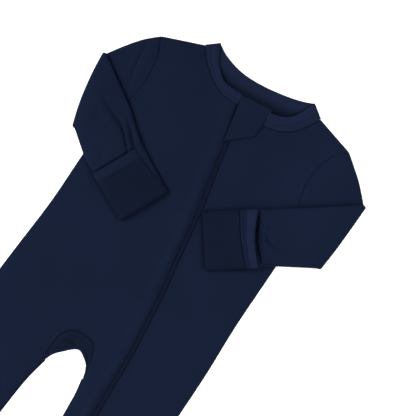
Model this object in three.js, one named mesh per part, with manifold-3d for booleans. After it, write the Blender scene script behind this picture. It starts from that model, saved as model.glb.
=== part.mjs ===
// A baby's zip-front sleeper romper, laid flat on its back with both sleeves folded over the chest.
// Millimetres. +X is the viewer's right (the wearer's left), +Y runs towards the head, +Z is up.
// Pattern points are measured from the middle of the neck; the last group moves the whole garment
// so that the origin is under the middle of its outline, on the surface it lies on.
import * as THREE from "three";
import { mergeVertices } from "three/addons/utils/BufferGeometryUtils.js";
import Module from "manifold-3d";

const wasm = await Module();
wasm.setup();

// ---------------------------------------------------------------- driving sizes

const WALL = 1.2; // jersey, one layer
const SEAM = 0.3; // gap between two pieces where they are sewn
const REST = 0.55; // gap between two layers that only lie on each other
const LIFT = 2.5; // how far the front stands off the back, away from the edges
const LIFT_REACH = 14; // distance from an edge over which the front rises
const SLEEVE_LIFT = 1.4; // the same for the two layers of a folded-over forearm
const SLEEVE_REACH = 9;
const GRID = 15; // spacing of the front's height grid
const NECKBAND_WIDTH = 14;
const BACK_BAND_WIDTH = 22; // behind the neck, where it reaches below the front's edge
const COIL_WIDTH = 5.4; // visible width of the closed zip coil
const COIL_RISE = 2.1; // height of the coil above its tape
const TAPE_WALL = 1.0;
const TAPE_REACH = 9; // how far each tape runs on under its front
const HEM_Y = -560;
const ZIP_END_Y = -532;
const CENTRE_X = 4.1; // middle of the outline, from the middle of the neck
const CENTRE_Y = -274.12;

// ---------------------------------------------------------------- pattern outlines

// The side edges of body and legs, from the underarm to the hem.
const SIDES = [
  { y: -128, right: -120, left: 126.5 },
  { y: -180, right: -120, left: 126.5 },
  { y: -240, right: -120, left: 126.5 },
  { y: -300, right: -123.5, left: 129 },
  { y: -345, right: -126, left: 129.5 },
  { y: -400, right: -128, left: 129.5 },
  { y: -480, right: -130, left: 128.5 },
  { y: HEM_Y, right: -131, left: 127 },
];

// The edge of the gap between the legs, from the right hem over the crotch to the left hem.
const LEG_GAP = [
  { x: -49, y: HEM_Y },
  { x: -40, y: -490 },
  { x: -35, y: -428 },
  { x: -31, y: -402 },
  { x: -25.7, y: -382 },
  { x: -16.5, y: -370 },
  { x: -4, y: -359 },
  { x: 6, y: -362.5 },
  { x: 14.2, y: -370 },
  { x: 18.6, y: -382 },
  { x: 22.3, y: -402 },
  { x: 24.5, y: -428 },
  { x: 31, y: -490 },
  { x: 44, y: HEM_Y },
];

// The seam that joins the gusset to the panels.
const GUSSET_SEAM = [
  { x: -28.3, y: -389 },
  { x: -30, y: -378 },
  { x: -30, y: -367 },
  { x: -28, y: -355 },
  { x: -21, y: -345.5 },
  { x: -13, y: -342 },
  { x: -5, y: -341.2 },
  { x: 2.5, y: -342 },
  { x: 8, y: -346 },
  { x: 12.5, y: -353 },
  { x: 15.5, y: -362 },
  { x: 17.5, y: -371 },
  { x: 18.7, y: -382 },
];

// Armhole seams, from the shoulder to the underarm.
const ARMHOLE_RIGHT = [
  { x: -121, y: -21.5 },
  { x: -112, y: -39 },
  { x: -107, y: -65 },
  { x: -108.5, y: -90 },
  { x: -113, y: -108 },
  { x: -120, y: -128 },
];
const ARMHOLE_LEFT = [
  { x: 123, y: -12 },
  { x: 112, y: -22 },
  { x: 104.5, y: -42 },
  { x: 103, y: -63 },
  { x: 108, y: -86 },
  { x: 126.5, y: -128 },
];

// The two long edges of the neckband: its free edge and the seam that joins it to the body.
const BACK_NECK_EDGE = [
  { x: -62, y: 8.5 },
  { x: -50, y: 1.5 },
  { x: -32, y: -3.9 },
  { x: -14, y: -5.4 },
  { x: 8, y: -3.6 },
  { x: 30, y: 0.5 },
  { x: 47, y: 5.2 },
  { x: 61, y: 11.3 },
];
const NECK_POINT_RIGHT = { x: -75, y: -2.6 };
const NECK_POINT_LEFT = { x: 76, y: 0.6 };
const FRONT_EDGE_RIGHT = [
  { x: -12, y: -25 },
  { x: -22, y: -25.5 },
  { x: -34, y: -24.5 },
  { x: -45, y: -17 },
  { x: -54, y: -7 },
  { x: -62, y: 8.5 },
];
const FRONT_SEAM_RIGHT = [
  { x: -9.5, y: -37 },
  { x: -20, y: -37 },
  { x: -33, y: -35 },
  { x: -49, y: -27 },
  { x: -63, y: -16 },
  NECK_POINT_RIGHT,
];
const FRONT_EDGE_LEFT = [
  { x: -4.3, y: -25 },
  { x: 10, y: -25.5 },
  { x: 27, y: -24.5 },
  { x: 40, y: -20.5 },
  { x: 51, y: -11 },
  { x: 61, y: 11.3 },
];
const FRONT_SEAM_LEFT = [
  { x: -0.9, y: -38.4 },
  { x: 14, y: -39.5 },
  { x: 33, y: -39 },
  { x: 48, y: -34 },
  { x: 62, y: -23 },
  NECK_POINT_LEFT,
];

// The line along which the right front ends on the zip coil, from the neck to the zip's end.
const ZIP_LINE = [
  { x: -11, y: -26 },
  { x: 2.5, y: -78 },
  { x: 6.5, y: -100 },
  { x: 11, y: -120 },
  { x: 16, y: -142 },
  { x: 20.8, y: -165 },
  { x: 28, y: -209 },
  { x: 36, y: -255 },
  { x: 41.5, y: -298 },
  { x: 45.5, y: -335 },
  { x: 47.5, y: -370 },
  { x: 50, y: -411 },
  { x: 54, y: -450 },
  { x: 60, y: -492 },
  { x: 67, y: ZIP_END_Y },
];

// The corners of the guard, which lies over the top of the zip.
const GUARD = {
  topInner: { x: -10.5, y: -23.5 },
  topOuter: { x: 26.5, y: -21 },
  bottomInner: { x: 1, y: -79 },
  bottomOuter: { x: 26.5, y: -55.5 },
};

// Each sleeve runs from its armhole to the fold, then back over the chest to its end.
// `upper` is the edge that starts at the shoulder, `lower` the edge that starts at the underarm.
const SLEEVE_RIGHT = {
  armhole: ARMHOLE_RIGHT,
  outward: -1,
  fold: [
    { x: -160.3, y: -71 },
    { x: -157.5, y: -98 },
    { x: -151.5, y: -130 },
    { x: -143, y: -159 },
  ],
  upperEdge: [
    { x: -121, y: -21.5 },
    { x: -135, y: -35 },
    { x: -148, y: -52 },
    { x: -160.3, y: -71 },
  ],
  forearm: [
    { along: 0.3, upper: { x: -120.7, y: -95.5 }, lower: { x: -120, y: -176.5 } },
    { along: 0.6, upper: { x: -69, y: -130 }, lower: { x: -97, y: -188.5 } },
    { along: 0.8, upper: { x: -45, y: -144.4 }, lower: { x: -72, y: -200.5 } },
    { along: 1, upper: { x: -20.5, y: -158.5 }, lower: { x: -46, y: -213 } },
  ],
};
const SLEEVE_LEFT = {
  armhole: ARMHOLE_LEFT,
  outward: 1,
  fold: [
    { x: 168.5, y: -51 },
    { x: 168, y: -80 },
    { x: 167, y: -110 },
    { x: 165, y: -137.5 },
  ],
  upperEdge: [
    { x: 123, y: -12 },
    { x: 135, y: -21 },
    { x: 152, y: -34.5 },
    { x: 168.5, y: -51 },
  ],
  forearm: [
    { along: 0.3, upper: { x: 126, y: -82.5 }, lower: { x: 127, y: -160.5 } },
    { along: 0.6, upper: { x: 74.5, y: -121.2 }, lower: { x: 109, y: -173 } },
    { along: 1, upper: { x: 28, y: -156 }, lower: { x: 65, y: -206 } },
  ],
};

// ---------------------------------------------------------------- curves in the plane

const vec = (p) => new THREE.Vector2(p.x, p.y);

// Points spaced evenly along a smooth curve through the given ones.
function smooth(points, count) {
  return new THREE.SplineCurve(points.map(vec)).getSpacedPoints(count - 1);
}

function lerp(a, b, t) {
  return new THREE.Vector2(a.x + (b.x - a.x) * t, a.y + (b.y - a.y) * t);
}

// The same polyline moved sideways, to the left of its own direction.
function offsetLine(points, distance) {
  return points.map((p, i) => {
    const before = points[Math.max(i - 1, 0)];
    const after = points[Math.min(i + 1, points.length - 1)];
    const along = new THREE.Vector2(after.x - before.x, after.y - before.y).normalize();
    return new THREE.Vector2(p.x - along.y * distance, p.y + along.x * distance);
  });
}

function distanceToSegment(p, a, b) {
  const abx = b.x - a.x;
  const aby = b.y - a.y;
  const share = ((p.x - a.x) * abx + (p.y - a.y) * aby) / (abx * abx + aby * aby);
  const t = THREE.MathUtils.clamp(share, 0, 1);
  return Math.hypot(p.x - a.x - abx * t, p.y - a.y - aby * t);
}

function distanceToLines(p, lines) {
  let nearest = Infinity;
  for (const line of lines)
    for (let i = 1; i < line.length; i++)
      nearest = Math.min(nearest, distanceToSegment(p, line[i - 1], line[i]));
  return nearest;
}

function isInside(p, outline) {
  let inside = false;
  outline.forEach((a, i) => {
    const b = outline[(i + 1) % outline.length];
    const crosses = a.y > p.y !== b.y > p.y;
    if (crosses && p.x < ((b.x - a.x) * (p.y - a.y)) / (b.y - a.y) + a.x) inside = !inside;
  });
  return inside;
}

// ---------------------------------------------------------------- outline curves of the garment

const sideRight = smooth(SIDES.map((row) => ({ x: row.right, y: row.y })), 12);
const sideLeft = smooth(SIDES.map((row) => ({ x: row.left, y: row.y })), 12);
const legGap = smooth(LEG_GAP, 37);
const gussetSeam = smooth(GUSSET_SEAM, 15);
const armholeRight = smooth(ARMHOLE_RIGHT, 9);
const armholeLeft = smooth(ARMHOLE_LEFT, 9);
const backNeckEdge = smooth(BACK_NECK_EDGE, 14);
const frontSeamRight = smooth(FRONT_SEAM_RIGHT, 9);
const frontSeamLeft = smooth(FRONT_SEAM_LEFT, 10);
const frontEdgeRight = smooth(FRONT_EDGE_RIGHT, 9);
const frontEdgeLeft = smooth(FRONT_EDGE_LEFT, 10);
const zipLine = smooth(ZIP_LINE, 23);

// The back neck seam lies below the band's free edge, and meets both neck points.
const backNeckSeam = offsetLine(backNeckEdge, -BACK_BAND_WIDTH);
backNeckSeam[0] = vec(NECK_POINT_RIGHT);
backNeckSeam[backNeckSeam.length - 1] = vec(NECK_POINT_LEFT);

// Edges where the front is held down on the back: everything but the hems and the front neck.
const closedEdges = [
  sideRight,
  sideLeft,
  legGap,
  backNeckEdge,
  [backNeckEdge[0], vec(NECK_POINT_RIGHT), armholeRight[0]],
  [backNeckEdge.at(-1), vec(NECK_POINT_LEFT), armholeLeft[0]],
];
for (const sleeve of [SLEEVE_RIGHT, SLEEVE_LEFT]) {
  const fold = sleeve.fold.map(vec);
  closedEdges.push(sleeve.upperEdge.map(vec), fold, [fold.at(-1), vec(sleeve.armhole.at(-1))]);
}

// The whole outline of the lowest storey, body and upper sleeves together.
const silhouette = [
  ...backNeckEdge,
  vec(NECK_POINT_LEFT),
  ...SLEEVE_LEFT.upperEdge.map(vec),
  ...SLEEVE_LEFT.fold.map(vec),
  ...sideLeft,
  ...legGap.toReversed(),
  ...sideRight.toReversed(),
  ...SLEEVE_RIGHT.fold.map(vec).toReversed(),
  ...SLEEVE_RIGHT.upperEdge.map(vec).toReversed(),
  vec(NECK_POINT_RIGHT),
];

// ---------------------------------------------------------------- height of the front

// The front's top surface is a grid of heights, so that all that lies on it can follow its facets.
const grid = { x0: -172, y0: HEM_Y - 6, columns: 23, rows: 39, z: [] };
for (let row = 0; row <= grid.rows; row++) {
  for (let column = 0; column <= grid.columns; column++) {
    const p = { x: grid.x0 + column * GRID, y: grid.y0 + row * GRID };
    const edge = isInside(p, silhouette) ? distanceToLines(p, closedEdges) : 0;
    grid.z.push(2 * WALL + SEAM + LIFT * (1 - Math.exp(-edge / LIFT_REACH)));
  }
}

function gridHeight(column, row) {
  return grid.z[row * (grid.columns + 1) + column];
}

// Height of the front's top surface, linear inside each of the grid's triangles.
function topAt(p) {
  const u = THREE.MathUtils.clamp((p.x - grid.x0) / GRID, 0, grid.columns - 1e-6);
  const v = THREE.MathUtils.clamp((p.y - grid.y0) / GRID, 0, grid.rows - 1e-6);
  const column = Math.floor(u);
  const row = Math.floor(v);
  const du = u - column;
  const dv = v - row;
  const near = gridHeight(column, row);
  const far = gridHeight(column + 1, row + 1);
  if (du > dv) {
    const corner = gridHeight(column + 1, row);
    return near + (corner - near) * du + (far - corner) * dv;
  }
  const corner = gridHeight(column, row + 1);
  return near + (far - corner) * du + (corner - near) * dv;
}

// ---------------------------------------------------------------- solids

// A closed geometry from points and the triangles that join them.
function geometryOf(points, triangles) {
  const geometry = new THREE.BufferGeometry();
  const flat = points.flatMap((p) => [p.x, p.y, p.z]);
  geometry.setAttribute("position", new THREE.Float32BufferAttribute(flat, 3));
  geometry.setIndex(triangles.flat());
  return geometry;
}

function solidOf(geometry) {
  const plain = geometry.clone();
  plain.deleteAttribute("normal");
  plain.deleteAttribute("uv");
  const merged = mergeVertices(plain, 1e-4);
  const mesh = new wasm.Mesh({
    numProp: 3,
    vertProperties: merged.attributes.position.array,
    triVerts: new Uint32Array(merged.index.array),
  });
  return new wasm.Manifold(mesh);
}

function geometryOfSolid(solid) {
  const mesh = solid.getMesh();
  const geometry = new THREE.BufferGeometry();
  geometry.setAttribute("position", new THREE.BufferAttribute(mesh.vertProperties, 3));
  geometry.setIndex(new THREE.BufferAttribute(mesh.triVerts, 1));
  return geometry;
}

// An upright prism over an outline, from one height to another.
function prism(outline, low, high) {
  const shape = new THREE.Shape(outline);
  const geometry = new THREE.ExtrudeGeometry(shape, { depth: high - low, bevelEnabled: false });
  geometry.translate(0, 0, low);
  return solidOf(geometry);
}

// The skin of a box of cells: two matching layers of points, low and high, closed round the rim.
function closedSlab(low, high, columns, rows) {
  const points = [...low, ...high];
  const second = low.length;
  const at = (column, row) => row * (columns + 1) + column;
  const triangles = [];
  const quad = (a, b, c, d) => triangles.push([a, b, c], [a, c, d]);
  for (let row = 0; row < rows; row++) {
    for (let column = 0; column < columns; column++) {
      const a = at(column, row);
      const b = at(column + 1, row);
      const c = at(column + 1, row + 1);
      const d = at(column, row + 1);
      quad(second + a, second + b, second + c, second + d);
      triangles.push([a, c, b], [a, d, c]);
    }
  }
  for (let column = 0; column < columns; column++) {
    quad(at(column, 0), at(column + 1, 0), second + at(column + 1, 0), second + at(column, 0));
    const far = at(column, rows);
    quad(at(column + 1, rows), far, second + far, second + at(column + 1, rows));
  }
  for (let row = 0; row < rows; row++) {
    quad(at(0, row + 1), at(0, row), second + at(0, row), second + at(0, row + 1));
    const far = at(columns, row);
    quad(far, at(columns, row + 1), second + at(columns, row + 1), second + far);
  }
  return geometryOf(points, triangles);
}

// One layer of cloth at the front's height over the whole garment; the front pieces are cut from it.
function frontLayer() {
  const low = [];
  const high = [];
  for (let row = 0; row <= grid.rows; row++) {
    for (let column = 0; column <= grid.columns; column++) {
      const x = grid.x0 + column * GRID;
      const y = grid.y0 + row * GRID;
      const z = gridHeight(column, row);
      high.push(new THREE.Vector3(x, y, z));
      low.push(new THREE.Vector3(x, y, z - WALL));
    }
  }
  return solidOf(closedSlab(low, high, grid.columns, grid.rows));
}

const layer = frontLayer();
const CUTTER = { low: -1, high: 20 }; // heights below and above all cloth

function cutFront(outline) {
  return layer.intersect(prism(outline, CUTTER.low, CUTTER.high));
}

// A wall over a table of middle points, rows by columns, half its thickness to each side.
function wallOver(table, wall) {
  const rows = table.length - 1;
  const columns = table[0].length - 1;
  const low = [];
  const high = [];
  table.forEach((line, row) =>
    line.forEach((p, column) => {
      const along = new THREE.Vector3().subVectors(
        table[Math.min(row + 1, rows)][column],
        table[Math.max(row - 1, 0)][column],
      );
      const across = new THREE.Vector3().subVectors(
        line[Math.min(column + 1, columns)],
        line[Math.max(column - 1, 0)],
      );
      const normal = across.cross(along).normalize().multiplyScalar(wall / 2);
      high.push(p.clone().add(normal));
      low.push(p.clone().sub(normal));
    }),
  );
  return closedSlab(low, high, columns, rows);
}

const at3 = (p, z) => new THREE.Vector3(p.x, p.y, z);

// ---------------------------------------------------------------- body

const HALF_SEAM = SEAM / 2;

// The leg gap without its crotch, where the gusset takes over, as two runs up to the gusset's tips.
const tipRight = legGap.findIndex((p) => p.y > GUSSET_SEAM[0].y);
const tipLeft = legGap.findLastIndex((p) => p.y > GUSSET_SEAM.at(-1).y);
const gapRight = legGap.slice(0, tipRight);
const gapLeft = legGap.slice(tipLeft + 1);
const gapCrotch = legGap.slice(tipRight, tipLeft + 1);
const panelCrotch = offsetLine(gussetSeam, HALF_SEAM);
const gussetOutline = [...offsetLine(gussetSeam, -HALF_SEAM), ...gapCrotch.toReversed()];

const backOutline = [
  ...offsetLine(backNeckSeam, -HALF_SEAM),
  ...offsetLine(armholeLeft, -HALF_SEAM),
  ...sideLeft.slice(1),
  ...gapLeft.toReversed(),
  ...panelCrotch.toReversed(),
  ...gapRight.toReversed(),
  ...sideRight.slice(1).toReversed(),
  ...offsetLine(armholeRight, HALF_SEAM).toReversed(),
];

// Below the zip's end the two fronts meet in a plain seam.
const belowZip = [zipLine.at(-1), new THREE.Vector2(71, HEM_Y)];
const frontRightOutline = [
  ...offsetLine(frontSeamRight, HALF_SEAM),
  ...offsetLine(armholeRight, HALF_SEAM),
  ...sideRight.slice(1),
  ...gapRight,
  ...panelCrotch,
  ...gapLeft,
  ...offsetLine(belowZip, -HALF_SEAM).toReversed(),
  ...offsetLine(zipLine, -HALF_SEAM).slice(1, -1).toReversed(),
];
const coilFarSide = offsetLine(zipLine, COIL_WIDTH + HALF_SEAM);
const frontLeftOutline = [
  ...offsetLine(frontSeamLeft, -HALF_SEAM),
  ...offsetLine(armholeLeft, -HALF_SEAM),
  ...sideLeft.slice(1),
  ...offsetLine(belowZip, HALF_SEAM).toReversed(),
  ...coilFarSide.slice(1).toReversed(),
];

const CROTCH_FOLD_TOP = 2 * WALL + SEAM + 0.6; // up into the front layer, which rises from its edge

// The gusset is folded over the crotch: a front half, a back half and the fold between them.
function gusset() {
  const inner = offsetLine(gapCrotch, WALL);
  const foldOutline = [...inner, ...gapCrotch.toReversed()];
  const front = cutFront(gussetOutline);
  const back = prism(gussetOutline, 0, WALL);
  const fold = prism(foldOutline, 0, CROTCH_FOLD_TOP);
  return geometryOfSolid(front.add(back).add(fold));
}

// ---------------------------------------------------------------- neckband

// How far round the fold at a shoulder each of the strip's sections stands, in degrees.
const TURN_ANGLES = [90, 50, 15, -15, -50, -90];

function bandSection(edge, seam, edgeZ, seamZ) {
  const sewn = lerp(seam, edge, SEAM / NECKBAND_WIDTH);
  return [at3(edge, edgeZ), at3(lerp(edge, sewn, 0.5), (edgeZ + seamZ) / 2), at3(sewn, seamZ)];
}

// The strip lies on the body in front, folds over at the shoulder and lies on the floor behind.
function bandFront(edges, seams) {
  return edges.slice(0, -1).map((edge, i) => {
    const seam = seams[i];
    return bandSection(edge, seam, topAt(edge) - WALL / 2, topAt(seam) - WALL / 2);
  });
}

function bandTurn(edge, seam, side) {
  const middle = WALL + SEAM / 2;
  const radius = middle - WALL / 2;
  return TURN_ANGLES.map((degrees) => {
    const angle = THREE.MathUtils.degToRad(degrees);
    const out = side * radius * (Math.cos(angle) - 1);
    const z = middle + radius * Math.sin(angle);
    const moved = (p) => new THREE.Vector2(p.x + out, p.y);
    return bandSection(moved(edge), moved(seam), z, z);
  });
}

// One strip: from the zip round the right of the neck, along the back and round to the zip again.
function neckband() {
  const behind = backNeckEdge.slice(1, -1).map((edge, i) =>
    bandSection(edge, backNeckSeam[i + 1], WALL / 2, WALL / 2),
  );
  const sections = [
    ...bandFront(frontEdgeRight, frontSeamRight),
    ...bandTurn(backNeckEdge[0], backNeckSeam[0], -1),
    ...behind,
    ...bandTurn(backNeckEdge.at(-1), backNeckSeam.at(-1), 1).toReversed(),
    ...bandFront(frontEdgeLeft, frontSeamLeft).toReversed(),
  ];
  return wallOver(sections, WALL);
}

// ---------------------------------------------------------------- sleeves

const ACROSS = 8; // steps from one long edge of a sleeve to the other
const across = Array.from({ length: ACROSS + 1 }, (_, i) => i / ACROSS);
const FOLD_HEIGHT = 2 * WALL + SEAM; // both layers together at the fold
const FOLD_GAP = 0.7; // between the upper sleeve and the forearm at the fold

// Each section lists, across the sleeve, where the layer that starts on the floor lies (`floor`)
// and where the layer that starts on top lies (`face`). Past the fold the two change places.
function upperSection(line) {
  return {
    floor: line.map((p) => at3(p, 0)),
    face: line.map((p) => at3(p, topAt(p))),
  };
}

function foldSection(line, outward, angle) {
  const axisZ = FOLD_HEIGHT + FOLD_GAP / 2;
  const outerRadius = axisZ;
  const innerRadius = FOLD_GAP / 2;
  const place = (p, radius) => {
    const x = p.x + outward * radius * Math.cos(angle);
    return new THREE.Vector3(x, p.y, axisZ + radius * Math.sin(angle));
  };
  return {
    floor: line.map((p) => place(p, outerRadius)),
    face: line.map((p) => place(p, innerRadius)),
  };
}

// How thick the folded-over forearm is at one point across it.
function forearmThickness(share, width) {
  const edge = Math.min(share, 1 - share) * width;
  return FOLD_HEIGHT + SLEEVE_LIFT * (1 - Math.exp(-edge / SLEEVE_REACH));
}

function forearmSection(line, rest) {
  const width = line[0].distanceTo(line.at(-1));
  return {
    floor: line.map((p, i) => at3(p, topAt(p) + rest + forearmThickness(across[i], width))),
    face: line.map((p) => at3(p, topAt(p) + rest)),
  };
}

// The forearm's middle lines and its two edges at any share of the way from the fold to the end.
function forearmEdges(sleeve) {
  const stations = [
    { along: 0, upper: sleeve.fold[0], lower: sleeve.fold.at(-1) },
    ...sleeve.forearm,
  ];
  return (along) => {
    const next = Math.max(1, stations.findIndex((s) => s.along >= along));
    const a = stations[next - 1];
    const b = stations[next];
    const t = (along - a.along) / (b.along - a.along);
    return { upper: lerp(a.upper, b.upper, t), lower: lerp(a.lower, b.lower, t) };
  };
}

// The curved fold straightens out over the first part of the forearm.
const STRAIGHT_BY = 0.3;
function forearmLine(sleeve, along) {
  const { upper, lower } = forearmEdges(sleeve)(along);
  const fold = smooth(sleeve.fold, ACROSS + 1);
  const bow = Math.max(0, 1 - along / STRAIGHT_BY);
  return across.map((share, i) => {
    const straight = lerp(upper, lower, share);
    const foldStraight = lerp(sleeve.fold[0], sleeve.fold.at(-1), share);
    const bowX = (fold[i].x - foldStraight.x) * bow;
    const bowY = (fold[i].y - foldStraight.y) * bow;
    return new THREE.Vector2(straight.x + bowX, straight.y + bowY);
  });
}

// A tube with open ends: each section gives a ring of outer points and a ring of inner points.
function tubeThrough(sections) {
  const ringOf = (section) => {
    const { floor, face } = section;
    const outer = [...face, ...floor.toReversed()];
    const inward = (own, other, i) => {
      const wallShare = WALL / own[i].distanceTo(other[i]);
      const p = own[i].clone().lerp(other[i], wallShare);
      if (i === 0) p.lerp(own[1], WALL / own[0].distanceTo(own[1]));
      if (i === ACROSS) p.lerp(own[i - 1], WALL / own[i].distanceTo(own[i - 1]));
      return p;
    };
    const faceIn = face.map((_, i) => inward(face, floor, i));
    const floorIn = floor.map((_, i) => inward(floor, face, i));
    return { outer, inner: [...faceIn, ...floorIn.toReversed()] };
  };
  const rings = sections.map(ringOf);
  const count = rings[0].outer.length;
  const points = rings.flatMap((ring) => [...ring.outer, ...ring.inner]);
  const outerAt = (ring, i) => ring * 2 * count + (i % count);
  const innerAt = (ring, i) => outerAt(ring, i) + count;
  const triangles = [];
  const quad = (a, b, c, d) => triangles.push([a, b, c], [a, c, d]);
  const last = rings.length - 1;
  for (let i = 0; i < count; i++) {
    for (let ring = 0; ring < last; ring++) {
      quad(outerAt(ring, i), outerAt(ring + 1, i), outerAt(ring + 1, i + 1), outerAt(ring, i + 1));
      quad(innerAt(ring, i + 1), innerAt(ring + 1, i + 1), innerAt(ring + 1, i), innerAt(ring, i));
    }
    quad(outerAt(0, i + 1), innerAt(0, i + 1), innerAt(0, i), outerAt(0, i));
    quad(outerAt(last, i), innerAt(last, i), innerAt(last, i + 1), outerAt(last, i + 1));
  }
  return geometryOf(points, triangles);
}

const FOLD_ANGLES = [-90, -50, -15, 15, 50, 90];
const FOREARM_STEPS = [0.12, 0.3, 0.45, 0.6, 0.75, 0.88, 1];

function sleeve(spec) {
  const toBody = spec.outward * HALF_SEAM;
  const armhole = smooth(spec.armhole, ACROSS + 1).map((p) => new THREE.Vector2(p.x + toBody, p.y));
  const fold = smooth(spec.fold, ACROSS + 1);
  const upperEdge = smooth(spec.upperEdge, 4);
  const sections = [0, 1 / 3, 2 / 3].map((t, step) => {
    const line = armhole.map((p, i) => lerp(p, fold[i], t));
    line[0] = step ? upperEdge[step] : line[0];
    return upperSection(line);
  });
  for (const degrees of FOLD_ANGLES)
    sections.push(foldSection(fold, spec.outward, THREE.MathUtils.degToRad(degrees)));
  for (const along of FOREARM_STEPS) sections.push(forearmSection(forearmLine(spec, along), REST));
  const geometry = tubeThrough(sections);
  if (spec.outward > 0) geometry.index.array.reverse();
  return geometry;
}

// ---------------------------------------------------------------- mittens

// Middle points of a layer that lies on the forearm.
function mittenTable(spec, stations) {
  return stations.map(({ along, edge, lift }) => {
    const line = forearmLine(spec, along);
    const width = line[0].distanceTo(line.at(-1));
    return across.map((share) => {
      const shifted = THREE.MathUtils.lerp(edge, 1, share);
      const p = lerp(line[0], line.at(-1), shifted);
      const forearmTop = topAt(p) + REST + forearmThickness(shifted, width);
      return at3(p, forearmTop + REST + WALL / 2 + lift * Math.sin(Math.PI * share));
    });
  });
}

// A mitten goes on past the sleeve's end and down over it.
const END_TURN = [
  { out: 1.5, drop: 0.5 },
  { out: 2.1, drop: 1.6 },
  { out: 2.2, drop: 3.6 },
];

function withEndTurn(rows) {
  const last = rows.at(-1);
  const before = rows.at(-2);
  const turned = END_TURN.map(({ out, drop }) =>
    last.map((p, i) => {
      const away = new THREE.Vector3().subVectors(p, before[i]).setZ(0).normalize();
      return p.clone().addScaledVector(away, out).setZ(p.z - drop);
    }),
  );
  return [...rows, ...turned];
}

// The right mitten was turned a little as it was folded back, so its edge leaves the sleeve's.
const MITTEN_RIGHT_ROWS = [
  { along: 0.6, edge: 0.165, lift: 0 },
  { along: 0.7, edge: 0.12, lift: 0 },
  { along: 0.8, edge: 0.08, lift: 0 },
  { along: 0.9, edge: 0.04, lift: 0 },
  { along: 1, edge: 0, lift: 0 },
];

// The left mitten stands open at its mouth. The binding takes up its first rows.
const BAND_LEFT_ROWS = [
  { along: 0.6, edge: 0, lift: 3 },
  { along: 0.655, edge: 0, lift: 2.7 },
  { along: 0.71, edge: 0, lift: 2.2 },
];
const MITTEN_LEFT_ROWS = [
  { along: 0.713, edge: 0, lift: 2.2 },
  { along: 0.8, edge: 0, lift: 1.1 },
  { along: 0.9, edge: 0, lift: 0.3 },
  { along: 1, edge: 0, lift: 0 },
];

// ---------------------------------------------------------------- zip

const COIL_TOP = COIL_RISE - 0.2;
const COIL_STOP = 2 * SEAM; // of the coil before the end of the zip
const COIL_SHOULDER = 0.55; // where the coil starts to round off, as a share of its width and height

// Each tape runs on under its front and rises between the fronts as its half of the coil. It stops a
// little short of the zip's end, clear of the fronts where they join.
function zipTape(side) {
  const middle = offsetLine(zipLine, COIL_WIDTH / 2);
  const end = middle.at(-1);
  const before = middle.at(-2);
  end.lerp(before, COIL_STOP / end.distanceTo(before));
  const table = middle.map((p, i) => {
    const before = middle[Math.max(i - 1, 0)];
    const after = middle[Math.min(i + 1, middle.length - 1)];
    const along = new THREE.Vector2(after.x - before.x, after.y - before.y).normalize();
    const place = (distance, z) => {
      const q = { x: p.x - along.y * distance * side, y: p.y + along.x * distance * side };
      return at3(q, topAt(q) - WALL - SEAM + z);
    };
    const coil = COIL_WIDTH / 2 - SEAM;
    return [
      place(HALF_SEAM, -TAPE_WALL),
      place(TAPE_REACH + coil, -TAPE_WALL),
      place(TAPE_REACH + coil, 0),
      place(coil, 0),
      place(coil, COIL_RISE * COIL_SHOULDER),
      place(coil * COIL_SHOULDER, COIL_TOP),
      place(HALF_SEAM, COIL_TOP),
    ];
  });
  return ringSolid(table, side < 0);
}

// A solid through closed rings of points, with flat ends.
function ringSolid(rings, flip) {
  const count = rings[0].length;
  const points = rings.flat();
  const triangles = [];
  const last = rings.length - 1;
  const cap = THREE.ShapeUtils.triangulateShape(
    rings[0].map((p) => new THREE.Vector2(Math.hypot(p.x - rings[0][0].x, p.y - rings[0][0].y), p.z)),
    [],
  );
  for (let ring = 0; ring < last; ring++) {
    for (let i = 0; i < count; i++) {
      const next = (i + 1) % count;
      const a = ring * count + i;
      const b = ring * count + next;
      triangles.push([a, b, b + count], [a, b + count, a + count]);
    }
  }
  for (const [a, b, c] of cap) {
    triangles.push([a, c, b]);
    triangles.push([last * count + a, last * count + b, last * count + c]);
  }
  const geometry = geometryOf(points, triangles);
  if (flip) geometry.index.array.reverse();
  return geometry;
}

const PULL = { length: 17, width: 5, wall: 1.2, bevel: 0.25 };
const SLIDER = { length: 9, width: 6, wall: 1.3, bevel: 0.3 };
const PULL_SINK = 0.15; // into the slider, so that the two are one piece
const PULL_PIVOT = 0.45; // as a share of the slider's length
const SLIDER_SHIFT = 0.8; // towards the left front, so that the guard covers it
const SLIDER_RISE = 0.75; // above the cloth's top, just clear of the coil

// The slider sits at the top of the zip with its pull lying down along the coil.
function zipSlider() {
  const rounded = ({ length, width, wall, bevel }) => {
    const shape = new THREE.Shape();
    const w = width / 2 - bevel;
    const l = length - 2 * bevel;
    shape.moveTo(-w, 0);
    shape.lineTo(w, 0);
    shape.lineTo(w, l - w);
    shape.absarc(0, l - w, w, 0, Math.PI, false);
    shape.lineTo(-w, 0);
    return new THREE.ExtrudeGeometry(shape, {
      depth: wall - 2 * bevel,
      bevelThickness: bevel,
      bevelSize: bevel,
      bevelSegments: 1,
      curveSegments: 6,
    }).translate(0, bevel, bevel);
  };
  const body = rounded(SLIDER);
  const pull = rounded(PULL);
  pull.rotateZ(Math.PI).translate(0, SLIDER.length * PULL_PIVOT, SLIDER.wall - PULL_SINK);
  const middle = offsetLine(zipLine, COIL_WIDTH / 2 + SLIDER_SHIFT);
  const seat = middle[1];
  const along = new THREE.Vector2().subVectors(middle[0], middle[1]).normalize();
  const geometry = geometryOfSolid(solidOf(body).add(solidOf(pull)));
  geometry.rotateZ(Math.atan2(along.y, along.x) - Math.PI / 2);
  return geometry.translate(seat.x, seat.y, topAt(seat) + SLIDER_RISE);
}

// The guard lies over the slider, higher there than at its edges.
const GUARD_CLEARANCE = 0.9; // over the coil and the neckband
const GUARD_RISE = 3.2;
const GUARD_CREST = { share: 0.15, spread: 0.4 }; // across the guard, from its inner edge
const GUARD_STEPS = 6;

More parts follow.
